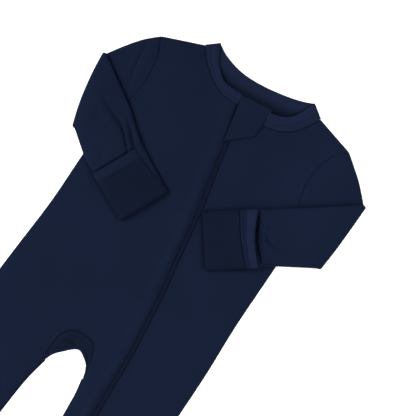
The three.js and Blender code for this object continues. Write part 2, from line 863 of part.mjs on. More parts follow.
function zipGuard() {
  const table = [];
  for (let row = 0; row <= GUARD_STEPS; row++) {
    const v = row / GUARD_STEPS;
    const inner = lerp(GUARD.bottomInner, GUARD.topInner, v);
    const outer = lerp(GUARD.bottomOuter, GUARD.topOuter, v);
    const overSlider = THREE.MathUtils.smoothstep(v, 0.05, 0.35);
    const line = [];
    for (let column = 0; column <= GUARD_STEPS; column++) {
      const u = column / GUARD_STEPS;
      const crest = Math.exp(-(((u - GUARD_CREST.share) / GUARD_CREST.spread) ** 2));
      const p = lerp(inner, outer, u);
      line.push(at3(p, topAt(p) + GUARD_CLEARANCE + WALL / 2 + GUARD_RISE * crest * overSlider));
    }
    table.push(line);
  }
  return wallOver(table, WALL);
}

// ---------------------------------------------------------------- materials and assembly

const jersey = new THREE.MeshStandardMaterial({ color: 0x171f34, roughness: 0.92, metalness: 0 });
const band = new THREE.MeshStandardMaterial({ color: 0x1b2339, roughness: 0.9, metalness: 0 });
const mittenCloth = new THREE.MeshStandardMaterial({ color: 0x131b2e, roughness: 0.95, metalness: 0 });
const tape = new THREE.MeshStandardMaterial({ color: 0x12192b, roughness: 0.7, metalness: 0 });
const sliderFinish = new THREE.MeshStandardMaterial({ color: 0x151c30, roughness: 0.45, metalness: 0.3 });

const garment = new THREE.Group();
garment.position.set(-CENTRE_X, -CENTRE_Y, 0);

function add(name, geometry, material) {
  const mesh = new THREE.Mesh(geometry, material.clone());
  mesh.name = name;
  garment.add(mesh);
}

add("back", geometryOfSolid(prism(backOutline, 0, WALL)), jersey);
add("front_right", geometryOfSolid(cutFront(frontRightOutline)), jersey);
add("front_left", geometryOfSolid(cutFront(frontLeftOutline)), jersey);
add("gusset", gusset(), jersey);
add("sleeve_right", sleeve(SLEEVE_RIGHT), jersey);
add("sleeve_left", sleeve(SLEEVE_LEFT), jersey);
add("mitten_right", wallOver(withEndTurn(mittenTable(SLEEVE_RIGHT, MITTEN_RIGHT_ROWS)), WALL), mittenCloth);
add("mitten_left", wallOver(withEndTurn(mittenTable(SLEEVE_LEFT, MITTEN_LEFT_ROWS)), WALL), mittenCloth);
add("mitten_band_left", wallOver(mittenTable(SLEEVE_LEFT, BAND_LEFT_ROWS), WALL), band);
add("neckband", neckband(), band);
add("zip_tape_right", zipTape(-1), tape);
add("zip_tape_left", zipTape(1), tape);
add("zip_slider", zipSlider(), sliderFinish);
add("zip_guard", zipGuard(), jersey);

const root = new THREE.Group();
root.add(garment);

export default root;
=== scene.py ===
import math

import bpy
import numpy as np
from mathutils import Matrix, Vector, geometry


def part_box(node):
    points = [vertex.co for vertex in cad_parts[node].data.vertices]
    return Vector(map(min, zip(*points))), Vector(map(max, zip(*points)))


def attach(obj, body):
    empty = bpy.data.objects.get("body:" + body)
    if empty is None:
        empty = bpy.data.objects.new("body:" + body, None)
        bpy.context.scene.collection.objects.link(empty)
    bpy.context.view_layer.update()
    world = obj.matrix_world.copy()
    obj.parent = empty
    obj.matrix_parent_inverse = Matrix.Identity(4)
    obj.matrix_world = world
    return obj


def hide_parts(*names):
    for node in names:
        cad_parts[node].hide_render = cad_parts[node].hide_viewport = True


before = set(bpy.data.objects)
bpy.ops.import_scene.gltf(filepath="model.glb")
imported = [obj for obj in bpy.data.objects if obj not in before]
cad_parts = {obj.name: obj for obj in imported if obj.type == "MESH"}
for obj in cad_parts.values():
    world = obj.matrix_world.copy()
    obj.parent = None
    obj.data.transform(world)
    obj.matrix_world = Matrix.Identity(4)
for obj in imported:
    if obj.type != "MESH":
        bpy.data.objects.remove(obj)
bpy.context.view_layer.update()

# A baby's zip-front sleeper in navy jersey, laid flat on its back with the sleeves folded over the chest.
# Pattern points are in millimetres from the middle of the neck: +X is the wearer's left, +Y the head.
# "Right" and "left" are the wearer's.

# ------------------------------------------------------------------ sizes, in millimetres

MM = 0.001
WALL = 0.9  # jersey, one layer
BAND_WALL = 1.5  # neckband and binding, folded double
SEAM_GAP = 0.12  # between two panels at a seam
REST = 0.35  # between two layers that lie on each other
EDGE_TOP = 2.4  # height of the front's top side where it is sewn to the back
LOWEST_FRONT = 2.1  # the front's top side where it is pressed onto the back
LIFT = 2.1  # how much higher the front lies away from its edges
LIFT_REACH = 12
SEAM_DIP = 0.75  # how deep a seam sits in the cloth
SEAM_DIP_WIDTH = 1.0
SLEEVE_EDGE = 3.4  # thickness of a flat sleeve at its edges, both layers
SLEEVE_LIFT = 1.9
SLEEVE_REACH = 10
CUFF_TAPER = 0.35  # of the forearm's thickness, at the cuff
EDGE_ROUND = 3.0  # how far in from its edge a flat sleeve rounds off
FOLD_ROUND = 1.2  # the same where the sleeve is folded
FOLD_GAP = 0.6
SIDE_ROUND = 2.4  # how far in from a side the front starts to turn down
BACK_INSET = 1.5  # how far the back's edge lies inside it
PRESS = 1.9  # depth of the hollow along a sleeve's edge
PRESS_WIDTH = 1.3
COIL_WIDTH = 5.4
NECKBAND_WIDTH = 14
BACK_BAND_WIDTH = 22  # it reaches below the front's edge
HEM_Y = -560
ZIP_END_Y = -532
LANES = (0.6, 1.3, 2.2, 3.3)  # how far in the extra rows of points lie along a panel's edge
FLOOR_GAP = 0.05  # under the back
SLEEVE_FLOOR = 0.1  # under an upper sleeve
LEAST_SLEEVE = 2.3 * WALL  # thickness that a creased sleeve keeps

# ------------------------------------------------------------------ pattern outlines

SIDES = [
    {"y": -128, "right": -120, "left": 126.5},
    {"y": -180, "right": -120, "left": 126.5},
    {"y": -240, "right": -120, "left": 126.5},
    {"y": -300, "right": -123.5, "left": 129},
    {"y": -345, "right": -126, "left": 129.5},
    {"y": -400, "right": -128, "left": 129.5},
    {"y": -480, "right": -130, "left": 128.5},
    {"y": HEM_Y, "right": -131, "left": 127},
]
LEG_GAP = [
    (-49, HEM_Y),
    (-40, -490),
    (-35, -428),
    (-31, -402),
    (-25.7, -382),
    (-16.5, -370),
    (-4, -359),
    (6, -362.5),
    (14.2, -370),
    (18.6, -382),
    (22.3, -402),
    (24.5, -428),
    (31, -490),
    (44, HEM_Y),
]
GUSSET_SEAM = [
    (-28.3, -389),
    (-30, -378),
    (-30, -367),
    (-28, -355),
    (-21, -345.5),
    (-13, -342),
    (-5, -341.2),
    (2.5, -342),
    (8, -346),
    (12.5, -353),
    (15.5, -362),
    (17.5, -371),
    (18.7, -382),
]
ARMHOLE_RIGHT = [(-121, -21.5), (-112, -39), (-107, -65), (-108.5, -90), (-113, -108), (-120, -128)]
ARMHOLE_LEFT = [(123, -12), (112, -22), (104.5, -42), (103, -63), (108, -86), (126.5, -128)]
NECK_POINT_RIGHT = (-75, -2.6)
NECK_POINT_LEFT = (76, 0.6)
BACK_NECK_EDGE = [
    (-62, 8.5),
    (-50, 1.5),
    (-32, -3.9),
    (-14, -5.4),
    (8, -3.6),
    (30, 0.5),
    (47, 5.2),
    (61, 11.3),
]
FRONT_EDGE_RIGHT = [(-10, -25), (-22, -25.5), (-34, -24.5), (-45, -17), (-54, -7), (-62, 8.5)]
FRONT_SEAM_RIGHT = [(-7.5, -37), (-20, -37), (-33, -35), (-49, -27), (-63, -16), NECK_POINT_RIGHT]
FRONT_EDGE_LEFT = [(-4.3, -25), (10, -25.5), (27, -24.5), (40, -20.5), (51, -11), (61, 11.3)]
FRONT_SEAM_LEFT = [(-0.9, -38.4), (14, -39.5), (33, -39), (48, -34), (62, -23), NECK_POINT_LEFT]
ZIP_LINE = [
    (-11, -26),
    (2.5, -78),
    (6.5, -100),
    (11, -120),
    (16, -142),
    (20.8, -165),
    (28, -209),
    (36, -255),
    (41.5, -298),
    (45.5, -335),
    (47.5, -370),
    (50, -411),
    (54, -450),
    (60, -492),
    (67, ZIP_END_Y),
]
ZIP_HEM_X = 71
GUARD = {
    "top_inner": (-9.5, -26),
    "top_outer": (26.5, -21),
    "bottom_inner": (1, -79),
    "bottom_outer": (26.5, -55.5),
}
SLEEVE_RIGHT = {
    "armhole": ARMHOLE_RIGHT,
    "outward": -1,
    "fold": [(-160.3, -71), (-157.5, -98), (-151.5, -130), (-143, -159)],
    "upper_edge": [(-121, -21.5), (-135, -35), (-148, -52), (-160.3, -71)],
    "forearm": [
        {"along": 0.3, "upper": (-119.5, -96.5), "lower": (-120, -176.5)},
        {"along": 0.4, "upper": (-103, -107), "lower": (-112.3, -180.5)},
        {"along": 0.5, "upper": (-87.5, -120.5), "lower": (-104.7, -184.5)},
        {"along": 0.6, "upper": (-71.5, -132), "lower": (-97, -188.5)},
        {"along": 0.8, "upper": (-46, -145.6), "lower": (-72, -200.5)},
        {"along": 1.0, "upper": (-20.5, -158.5), "lower": (-46, -213)},
    ],
}
SLEEVE_LEFT = {
    "armhole": ARMHOLE_LEFT,
    "outward": 1,
    "fold": [(168.5, -51), (168, -80), (167, -110), (165, -137.5)],
    "upper_edge": [(123, -12), (135, -21), (152, -34.5), (168.5, -51)],
    "forearm": [
        {"along": 0.3, "upper": (126, -82.5), "lower": (127, -160.5)},
        {"along": 0.6, "upper": (74.5, -121.2), "lower": (109, -173)},
        {"along": 1.0, "upper": (28, -156), "lower": (65, -206)},
    ],
}

# Along the open mouth of the left mitten, from edge to edge of the forearm.
LEFT_MOUTH = [
    (63, -101),
    (74.6, -119.4),
    (80.4, -132.9),
    (89.6, -148.8),
    (98, -158.5),
    (110.5, -169.6),
    (123, -181),
]

# Soft troughs (negative) and ridges (positive), by the surface they are on. `width` is half the width
# at which they have faded to about a third.
CREASES = {
    "front": [
        {"line": [(-4, -113), (6, -112)], "height": -0.9, "width": 1.6},
        {"line": [(-60, -250), (-20, -262), (18, -258)], "height": 0.35, "width": 16},
        {"line": [(-100, -330), (-70, -352), (-36, -358)], "height": 0.5, "width": 9},
        {"line": [(-96, -346), (-66, -364), (-38, -368)], "height": -0.4, "width": 7},
        {"line": [(-110, -190), (-92, -240), (-88, -300)], "height": 0.4, "width": 13},
        {"line": [(70, -180), (84, -230), (86, -300)], "height": 0.4, "width": 14},
        {"line": [(30, -360), (46, -352), (80, -362)], "height": 0.3, "width": 9},
        {"line": [(-90, -420), (-84, -480), (-88, -540)], "height": 0.5, "width": 12},
        {"line": [(92, -400), (98, -470), (96, -540)], "height": 0.45, "width": 12},
        {"line": [(-100, -44), (-70, -52), (-30, -50)], "height": 0.3, "width": 12},
        {"line": [(44, -52), (72, -44), (98, -50)], "height": 0.3, "width": 10},
    ],
    "gusset": [
        {"line": [(-24, -357.5), (-11, -356), (-5, -359.5)], "height": -2.4, "width": 1.5},
        {"line": [(-21, -352.5), (-15, -351), (-9, -348.5)], "height": -1.6, "width": 1.2},
        {"line": [(-26, -374), (-18, -366), (-8, -358.5)], "height": -1.4, "width": 0.9},
        {"line": [(-24, -362), (-12, -359)], "height": 0.9, "width": 1.4},
        {"line": [(2, -354), (9, -358.5), (14, -367)], "height": -2.0, "width": 1.4},
        {"line": [(-25, -350), (-12, -345), (2, -346)], "height": 0.8, "width": 2.0},
        {"line": [(4, -346), (10.5, -354), (13.5, -364), (15.5, -377)], "height": -1.1, "width": 0.8},
    ],
    "upper_right": [
        {"line": [(-131, -30), (-126, -62), (-119, -92)], "height": -1.9, "width": 1.2},
        {"line": [(-122, -30), (-118, -58), (-114, -84)], "height": 1.0, "width": 4.0},
    ],
    "upper_left": [
        {"line": [(120, -32), (117, -56), (120, -74)], "height": 0.5, "width": 6},
    ],
    "forearm_right": [
        {
            "line": [(-136, -112), (-119, -120.5), (-104, -126.5), (-91, -136.5), (-66, -163)],
            "height": -3.2,
            "width": 1.6,
        },
        {"line": [(-142, -117), (-122, -127), (-108, -133), (-96, -143)], "height": 1.9, "width": 4.2},
        {"line": [(-99, -118), (-88, -129), (-80, -137), (-62, -152)], "height": -2.8, "width": 1.4},
        {"line": [(-106, -119), (-95, -128), (-76, -148)], "height": 1.5, "width": 2.2},
        {"line": [(-91, -117), (-82, -126), (-68, -140)], "height": 1.2, "width": 2.6},
        {"line": [(-150, -95), (-138, -130), (-128, -160)], "height": 0.6, "width": 9},
        {"line": [(-112, -158), (-100, -168), (-92, -178)], "height": -1.5, "width": 6},
        {
            "line": [(-102, -199), (-97.8, -188.6), (-86.3, -163.8), (-74.8, -138.8), (-71, -131)],
            "height": -1.9,
            "width": 1.2,
        },
    ],
    "forearm_left": [
        {"line": LEFT_MOUTH, "height": -9.0, "width": 1.8},
        {"line": [(82, -113), (91, -131), (100, -146), (108, -156)], "height": 1.6, "width": 3.4},
        {"line": [(84, -129), (104, -143), (118, -144), (133, -142.5)], "height": -1.9, "width": 1.3},
        {"line": [(80, -121), (92, -129), (106, -132)], "height": -1.3, "width": 1.3},
        {"line": [(88, -118), (108, -129), (134, -131)], "height": 0.9, "width": 5},
        {"line": [(100, -151), (120, -148), (142, -143)], "height": 0.9, "width": 4},
        {"line": [(107, -170), (120, -162.5), (131, -156)], "height": -1.6, "width": 0.9},
        {"line": [(150, -70), (146, -100), (148, -130)], "height": 0.6, "width": 10},
    ],
}

# ------------------------------------------------------------------ curves in the plane


def spaced(points, step, closed=False):
    """Points about `step` apart along a polyline."""
    line = np.array(points, float)
    if closed:
        line = np.vstack([line, line[:1]])
    run = np.concatenate([[0], np.cumsum(np.hypot(*np.diff(line, axis=0).T))])
    count = max(2, int(round(run[-1] / step)) + 1)
    at = np.linspace(0, run[-1], count)
    made = np.column_stack([np.interp(at, run, line[:, axis]) for axis in range(line.shape[1])])
    return made[:-1] if closed else made


def smooth(points, step=2.0):
    """Points about `step` apart along a smooth curve through the given ones."""
    p = np.array(points, float)
    p = np.vstack([p[:1], p, p[-1:]])
    t = np.linspace(0, 1, 17)[:-1, None]
    pieces = []
    for p0, p1, p2, p3 in zip(p, p[1:], p[2:], p[3:]):
        v1, v2 = (p2 - p0) / 2, (p3 - p1) / 2
        cubic = 2 * p1 - 2 * p2 + v1 + v2
        square = -3 * p1 + 3 * p2 - 2 * v1 - v2
        pieces.append(cubic * t**3 + square * t**2 + v1 * t + p1)
    return spaced(np.vstack([*pieces, p[-1:]]), step)


def share_of(line, shares):
    """Points at given shares of a polyline's length."""
    run = np.concatenate([[0], np.cumsum(np.hypot(*np.diff(line, axis=0).T))])
    at = np.asarray(shares) * run[-1]
    return np.column_stack([np.interp(at, run, line[:, axis]) for axis in range(2)])


def directions(line):
    along = np.gradient(line, axis=0)
    return along / np.linalg.norm(along, axis=1, keepdims=True)


def offset(line, distance):
    """A polyline moved sideways, to the left of its own direction."""
    along = directions(line)
    return line + np.column_stack([-along[:, 1], along[:, 0]]) * np.reshape(distance, (-1, 1))


def nearest(points, line):
    """Each point's distance to a polyline, and the share of its length where it is nearest."""
    best = np.full(len(points), 1e9)
    share = np.zeros(len(points))
    run = np.concatenate([[0], np.cumsum(np.hypot(*np.diff(line, axis=0).T))])
    for i, (a, b) in enumerate(zip(line[:-1], line[1:])):
        ab = b - a
        length = ab @ ab
        if length == 0:
            continue
        t = np.clip((points - a) @ ab / length, 0, 1)
        gap = np.hypot(*(points - a - t[:, None] * ab).T)
        closer = gap < best
        best[closer] = gap[closer]
        share[closer] = ((run[i] + t * (run[i + 1] - run[i])) / run[-1])[closer]
    return best, share


def distance(points, *lines):
    return np.min([nearest(points, line)[0] for line in lines], axis=0)


def inside(points, outline):
    x, y = points.T
    result = np.zeros(len(points), bool)
    for a, b in zip(outline, np.roll(outline, -1, axis=0)):
        crosses = (a[1] > y) != (b[1] > y)
        if crosses.any():
            edge_x = (b[0] - a[0]) * (y - a[1]) / (b[1] - a[1] + 1e-12) + a[0]
            result ^= crosses & (x < edge_x)
    return result


# ------------------------------------------------------------------ the garment's own lines

side_right = smooth([(row["right"], row["y"]) for row in SIDES], 4)
side_left = smooth([(row["left"], row["y"]) for row in SIDES], 4)
leg_gap = smooth(LEG_GAP, 2)
gusset_seam = smooth(GUSSET_SEAM, 2)
armhole_right = smooth(ARMHOLE_RIGHT, 3)
armhole_left = smooth(ARMHOLE_LEFT, 3)
back_neck_edge = smooth(BACK_NECK_EDGE, 3)
back_neck_seam = offset(back_neck_edge, -BACK_BAND_WIDTH)
back_neck_seam[0] = NECK_POINT_RIGHT
back_neck_seam[-1] = NECK_POINT_LEFT
front_edge_right = smooth(FRONT_EDGE_RIGHT, 2)
front_seam_right = smooth(FRONT_SEAM_RIGHT, 2)
front_edge_left = smooth(FRONT_EDGE_LEFT, 2)
front_seam_left = smooth(FRONT_SEAM_LEFT, 2)
zip_line = smooth(ZIP_LINE, 2.5)
coil_far = offset(zip_line, COIL_WIDTH)
below_zip = np.array([zip_line[-1], (ZIP_HEM_X, HEM_Y)], float)

tip_right = int(np.argmax(leg_gap[:, 1] > GUSSET_SEAM[0][1]))
tip_left = len(leg_gap) - 1 - int(np.argmax(leg_gap[::-1, 1] > GUSSET_SEAM[-1][1]))
gap_right = leg_gap[: tip_right + 1]
gap_crotch = leg_gap[tip_right : tip_left + 1]
gap_left = leg_gap[tip_left:]
gusset_seam[0], gusset_seam[-1] = gap_crotch[0], gap_crotch[-1]

# Where the front is held down on the back, and the outline of body and upper sleeves together.
closed_edges = [side_right, side_left, leg_gap, back_neck_edge]
closed_edges.append(np.array([BACK_NECK_EDGE[0], NECK_POINT_RIGHT, ARMHOLE_RIGHT[0]], float))
closed_edges.append(np.array([BACK_NECK_EDGE[-1], NECK_POINT_LEFT, ARMHOLE_LEFT[0]], float))
for spec in (SLEEVE_RIGHT, SLEEVE_LEFT):
    closed_edges.append(smooth(spec["upper_edge"], 3))
    closed_edges.append(smooth(spec["fold"], 3))
    closed_edges.append(np.array([spec["fold"][-1], spec["armhole"][-1]], float))
silhouette = np.vstack(
    [
        back_neck_edge,
        [NECK_POINT_LEFT],
        smooth(SLEEVE_LEFT["upper_edge"], 3),
        smooth(SLEEVE_LEFT["fold"], 3),
        side_left,
        leg_gap[::-1],
        side_right[::-1],
        smooth(SLEEVE_RIGHT["fold"], 3)[::-1],
        smooth(SLEEVE_RIGHT["upper_edge"], 3)[::-1],
        [NECK_POINT_RIGHT],
    ]
)

# Where a forearm and its mitten press into the front.
pressed_lines = []
for spec in (SLEEVE_RIGHT, SLEEVE_LEFT):
    upper = [spec["fold"][0], *[row["upper"] for row in spec["forearm"]]]
    lower = [row["lower"] for row in spec["forearm"]]
    pressed_lines.append(np.array([*upper, *lower[::-1]], float))

# The pattern's place in the frame comes from the CAD back: its hem and its widest left side.
back_low, back_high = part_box("back")
NECK_X = back_high[0] / MM - side_left[:, 0].max()
NECK_Y = back_low[1] / MM - HEM_Y

# ------------------------------------------------------------------ heights


def creases(points, surface):
    total = np.zeros(len(points))
    for row in CREASES[surface]:
        gap, share = nearest(points, smooth(row["line"], 3))
        fade = np.sin(np.pi * np.clip(share, 0.02, 0.98)) ** 0.7
        total += row["height"] * fade * np.exp(-((gap / row["width"]) ** 2))
    return total


def swell(points, scale, seed):
    """A slow, uneven rise and fall between -1 and 1."""
    rng = np.random.default_rng(seed)
    total = np.zeros(len(points))
    for _ in range(5):
        angle, phase = rng.uniform(0, 2 * np.pi, 2)
        wave = scale * rng.uniform(0.6, 1.6)
        total += np.sin(2 * np.pi * (points @ (np.cos(angle), np.sin(angle))) / wave + phase)
    return total / 5


def front_top(points):
    """Height of the top side of the lowest storey: the body's front and the upper sleeves."""
    edge = np.where(inside(points, silhouette), distance(points, *closed_edges), 0)
    rise = 1 - np.exp(-edge / LIFT_REACH)
    soft = 1 + 0.16 * swell(points, 90, 3)
    return EDGE_TOP + LIFT * rise * soft + creases(points, "front") * rise


def seam_dip(points, *lines):
    return SEAM_DIP * np.exp(-((distance(points, *lines) / SEAM_DIP_WIDTH) ** 2))


def round_edge(gap, radius, drop):
    """How far a surface falls towards an edge, as a quarter round."""
    share = 1 - np.clip(gap / radius, 0, 1)
    return drop * (1 - np.sqrt(1 - share**2))


def right_front_height(points):
    to_zip, share = nearest(points, zip_line)
    pucker = 0.95 + 0.16 * np.sin(share * 190) * np.sin(share * 67 + 1) + 0.25 * np.sin(share * 11 - 1.5)
    welt = 2.4 * pucker * np.exp(-(((to_zip - 7.0) / 4.2) ** 2))
    z = front_top(points) + welt - round_edge(to_zip, 5.0, 1.0)
    z = z - seam_dip(points, front_seam_right, armhole_right, gusset_seam, below_zip) - pressed(points)
    z = z - 0.5 * np.exp(-((distance(points, offset(armhole_right, 3.6)) / 0.9) ** 2))
    z = z - 0.45 * np.exp(-((distance(points, gusset_seam) / 1.2) ** 2))
    return np.maximum(z, LOWEST_FRONT) - side_fall(points)


def left_front_height(points):
    to_coil, share = nearest(points, coil_far)
    lip = 0.3 * np.exp(-(((to_coil - 1.9) / 1.6) ** 2))
    stitched = 0.3 * np.exp(-(((to_coil - 3.4) / 0.8) ** 2)) * (1 + 0.3 * np.sin(share * 240))
    z = front_top(points) + lip - stitched - round_edge(to_coil, 1.6, 0.4)
    z = z - seam_dip(points, front_seam_left, armhole_left, below_zip) - pressed(points)
    return np.maximum(z, LOWEST_FRONT) - side_fall(points)


def side_fall(points):
    """The front turns down round the edge of the back."""
    return round_edge(distance(points, side_right, side_left, leg_gap), SIDE_ROUND, EDGE_TOP - WALL)


def pressed(points):
    """The hollow that a sleeve lying on the front leaves along its edge."""
    gap = distance(points, *pressed_lines)
    return PRESS * np.exp(-((gap / PRESS_WIDTH) ** 2)) + 0.5 * np.exp(-((gap / 5) ** 2))


def gusset_height(points):
    return front_top(points) - seam_dip(points, gusset_seam) + creases(points, "gusset")


# ------------------------------------------------------------------ meshes


def new_object(name, points, faces, material):
    """A smooth mesh from points in pattern millimetres, riding on the one body."""
    placed = (np.asarray(points, float) + (NECK_X, NECK_Y, 0)) * MM
    mesh = bpy.data.meshes.new(name)
    mesh.from_pydata(placed.tolist(), [], [list(map(int, face)) for face in faces])
    mesh.validate()
    mesh.materials.append(material)
    mesh.shade_smooth()
    made = bpy.data.objects.new(name, mesh)
    bpy.context.scene.collection.objects.link(made)
    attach(made, "root")
    return made


def panel(name, outline, height, material, net=3.2, wall=WALL):
    """A flat-cut piece: a fine net of points over its outline, crowded along the edge, with a wall."""
    rim = spaced(outline, 2.0, closed=True)
    clockwise = np.sum(np.roll(rim[:, 0], -1) * rim[:, 1] - rim[:, 0] * np.roll(rim[:, 1], -1)) > 0
    if clockwise:
        rim = rim[::-1]
    closed_rim = np.vstack([rim, rim[:1]])
    along = np.roll(rim, -1, axis=0) - np.roll(rim, 1, axis=0)
    along /= np.linalg.norm(along, axis=1, keepdims=True)
    inward = np.column_stack([-along[:, 1], along[:, 0]])
    lanes = [rim]
    for depth in LANES:
        lane = rim + inward * depth
        gap = nearest(lane, closed_rim)[0]
        lanes.append(lane[inside(lane, rim) & (gap > depth * 0.95)])
    low, high = rim.min(axis=0), rim.max(axis=0)
    rows = []
    for i, y in enumerate(np.arange(low[1], high[1], net * math.sqrt(3) / 2)):
        x = np.arange(low[0] + (i % 2) * net / 2, high[0], net)
        rows.append(np.column_stack([x, np.full(len(x), y)]))
    grid = np.vstack(rows)
    grid = grid[inside(grid, rim)]
    grid = grid[nearest(grid, closed_rim)[0] > LANES[-1] + net * 0.5]
    points = np.vstack([*lanes, grid])
    ring = list(range(len(rim)))
    made = geometry.delaunay_2d_cdt([Vector(p) for p in points], [], [ring], 1, 1e-4)
    flat = np.array([tuple(v) for v in made[0]])
    triangles = np.array(made[2])
    top = np.column_stack([flat, height(flat)])
    bottom = top - (0, 0, wall)
    return close_shell(name, top, bottom, triangles, material)


def close_shell(name, top, bottom, triangles, material):
    """Two matching skins joined round every open edge."""
    edges = {}
    for a, b, c in triangles:
        for edge in ((a, b), (b, c), (c, a)):
            edges[edge] = True
    count = len(top)
    walls = [(b, a, a + count, b + count) for a, b in edges if (b, a) not in edges]
    under = [(c + count, b + count, a + count) for a, b, c in triangles.tolist()]
    faces = [*triangles.tolist(), *under, *walls]
    return new_object(name, np.vstack([top, bottom]), faces, material)


def grid_triangles(rows, columns):
    faces = []
    for row in range(rows - 1):
        for column in range(columns - 1):
            a = row * columns + column
            faces.append((a, a + 1, a + columns + 1))
            faces.append((a, a + columns + 1, a + columns))
    return np.array(faces)


def grid_normals(table):
    across = np.gradient(table, axis=1)
    along = np.gradient(table, axis=0)
    normal = np.cross(across, along)
    return normal / np.maximum(np.linalg.norm(normal, axis=2, keepdims=True), 1e-9)


def sheet_over(name, table, wall, material, flip=False):
    """A wall over a table of middle points, half its thickness to each side."""
    table = np.asarray(table, float)
    normal = grid_normals(table) * (wall / 2)
    rows, columns = table.shape[:2]
    high, low = (table + normal).reshape(-1, 3), (table - normal).reshape(-1, 3)
    triangles = grid_triangles(rows, columns)
    if flip:
        triangles = triangles[:, ::-1]
        high, low = low, high
    return close_shell(name, high, low, triangles, material)


def tube_through(name, rings, wall, flip, material):
    """An open tube with a wall, through rings of points."""
    rings = np.asarray(rings, float)
    count, around = rings.shape[:2]
    wrapped = np.concatenate([rings[:, -1:], rings, rings[:, :1]], axis=1)
    normal = grid_normals(wrapped)[:, 1:-1] * (-1 if flip else 1)
    inner = rings - normal * wall
    points = np.vstack([rings.reshape(-1, 3), inner.reshape(-1, 3)])
    half = count * around
    faces = []
    for ring in range(count - 1):
        for i in range(around):
            j = (i + 1) % around
            a, b = ring * around + i, ring * around + j
            c, d = b + around, a + around
            faces.append((a, b, c, d))
            faces.append((half + d, half + c, half + b, half + a))
    for ring in (0, count - 1):
        for i in range(around):
            j = (i + 1) % around
            a, b = ring * around + i, ring * around + j
            face = (b, a, half + a, half + b)
            faces.append(face if ring == 0 else face[::-1])
    if flip:
        faces = [face[::-1] for face in faces]
    return new_object(name, points, faces, material)


# ------------------------------------------------------------------ materials

NAVY = (0.0041, 0.0076, 0.0217)
# Darker than the jersey: painted shade of the folds at the crotch.
NAVY_GUSSET_SHADED = (0.0034, 0.0064, 0.0183)
# Darker than the sleeves' jersey: painted shade on the mittens.
NAVY_MITTEN_SHADED = (0.0030, 0.0057, 0.0163)
# Lighter than the jersey: painted highlight on the raised bands.
NAVY_BAND_LIT = (0.0063, 0.0109, 0.0297)
NAVY_TAPE = (0.0033, 0.0061, 0.0173)
NAVY_THREAD = (0.0056, 0.0097, 0.0266)


def knit(name, colour, turn=0.0, wale=0.75, course=0.6, bump=0.00010, painted_shade_on=False):
    """Jersey: columns of small V stitches, with a little fuzz and uneven dye. Sizes in millimetres.

    With the last flag set, a float attribute of the mesh darkens or lightens the colour: painted shade, and
    a little painted light.
    """
    material = bpy.data.materials.new(name)
    material.use_nodes = True
    tree = material.node_tree
    nodes, links = tree.nodes, tree.links
    shader = nodes["Principled BSDF"]

    def math_node(operation, a, b=0.0):
        node = nodes.new("ShaderNodeMath")
        node.operation = operation
        for socket, value in zip(node.inputs, (a, b)):
            if isinstance(value, (int, float)):
                socket.default_value = value
            else:
                links.new(value, socket)
        return node.outputs[0]

    def noise(scale, detail):
        node = nodes.new("ShaderNodeTexNoise")
        node.inputs["Scale"].default_value = scale
        node.inputs["Detail"].default_value = detail
        links.new(where, node.inputs["Vector"])
        return node.outputs[0]

    where = nodes.new("ShaderNodeTexCoord").outputs["Object"]
    mapping = nodes.new("ShaderNodeMapping")
    mapping.inputs["Rotation"].default_value = (0, 0, turn)
    mapping.inputs["Scale"].default_value = (1 / (wale * MM), 1 / (course * MM), 1 / (course * MM))
    links.new(where, mapping.inputs["Vector"])
    split = nodes.new("ShaderNodeSeparateXYZ")
    links.new(mapping.outputs[0], split.inputs[0])
    column = math_node("PINGPONG", split.outputs[0], 0.5)
    leaning = math_node("ADD", split.outputs[1], math_node("MULTIPLY", column, 1.3))
    loops = math_node("SINE", math_node("MULTIPLY", leaning, 2 * math.pi))
    body = math_node("SINE", math_node("MULTIPLY", column, 2 * math.pi))
    stitches = math_node("MULTIPLY", math_node("ADD", math_node("MULTIPLY", loops, 0.35), 0.65), body)
    fuzz = noise(2600, 2)
    dye = noise(16, 3)
    height = math_node("ADD", stitches, math_node("MULTIPLY", fuzz, 0.5))
    bump_node = nodes.new("ShaderNodeBump")
    bump_node.inputs["Strength"].default_value = 0.6
    bump_node.inputs["Distance"].default_value = bump
    links.new(height, bump_node.inputs["Height"])
    links.new(bump_node.outputs[0], shader.inputs["Normal"])

    shade = math_node("ADD", math_node("MULTIPLY", stitches, 0.16), math_node("MULTIPLY", dye, 0.36))
    shade = math_node("ADD", shade, 0.70)
    # Painted shade: the mesh's attribute scales the colour where shadow falls.
    if painted_shade_on:
        painted_shade = nodes.new("ShaderNodeAttribute")
        painted_shade.attribute_name = "painted_shade"
        shade = math_node("MULTIPLY", shade, painted_shade.outputs["Fac"])
    mix = nodes.new("ShaderNodeMix")
    mix.data_type = "RGBA"
    mix.blend_type = "MULTIPLY"
    mix.inputs["Factor"].default_value = 1
    mix.inputs["A"].default_value = (*colour, 1)
    links.new(shade, mix.inputs["B"])
    links.new(mix.outputs["Result"], shader.inputs["Base Color"])
    rough = math_node("ADD", math_node("MULTIPLY", fuzz, 0.12), 0.82)
    links.new(rough, shader.inputs["Roughness"])
    shader.inputs["Specular IOR Level"].default_value = 0.04
    shader.inputs["Sheen Weight"].default_value = 0.012
    shader.inputs["Sheen Roughness"].default_value = 0.5
    shader.inputs["Sheen Tint"].default_value = (0.5, 0.62, 1.0, 1)
    return material


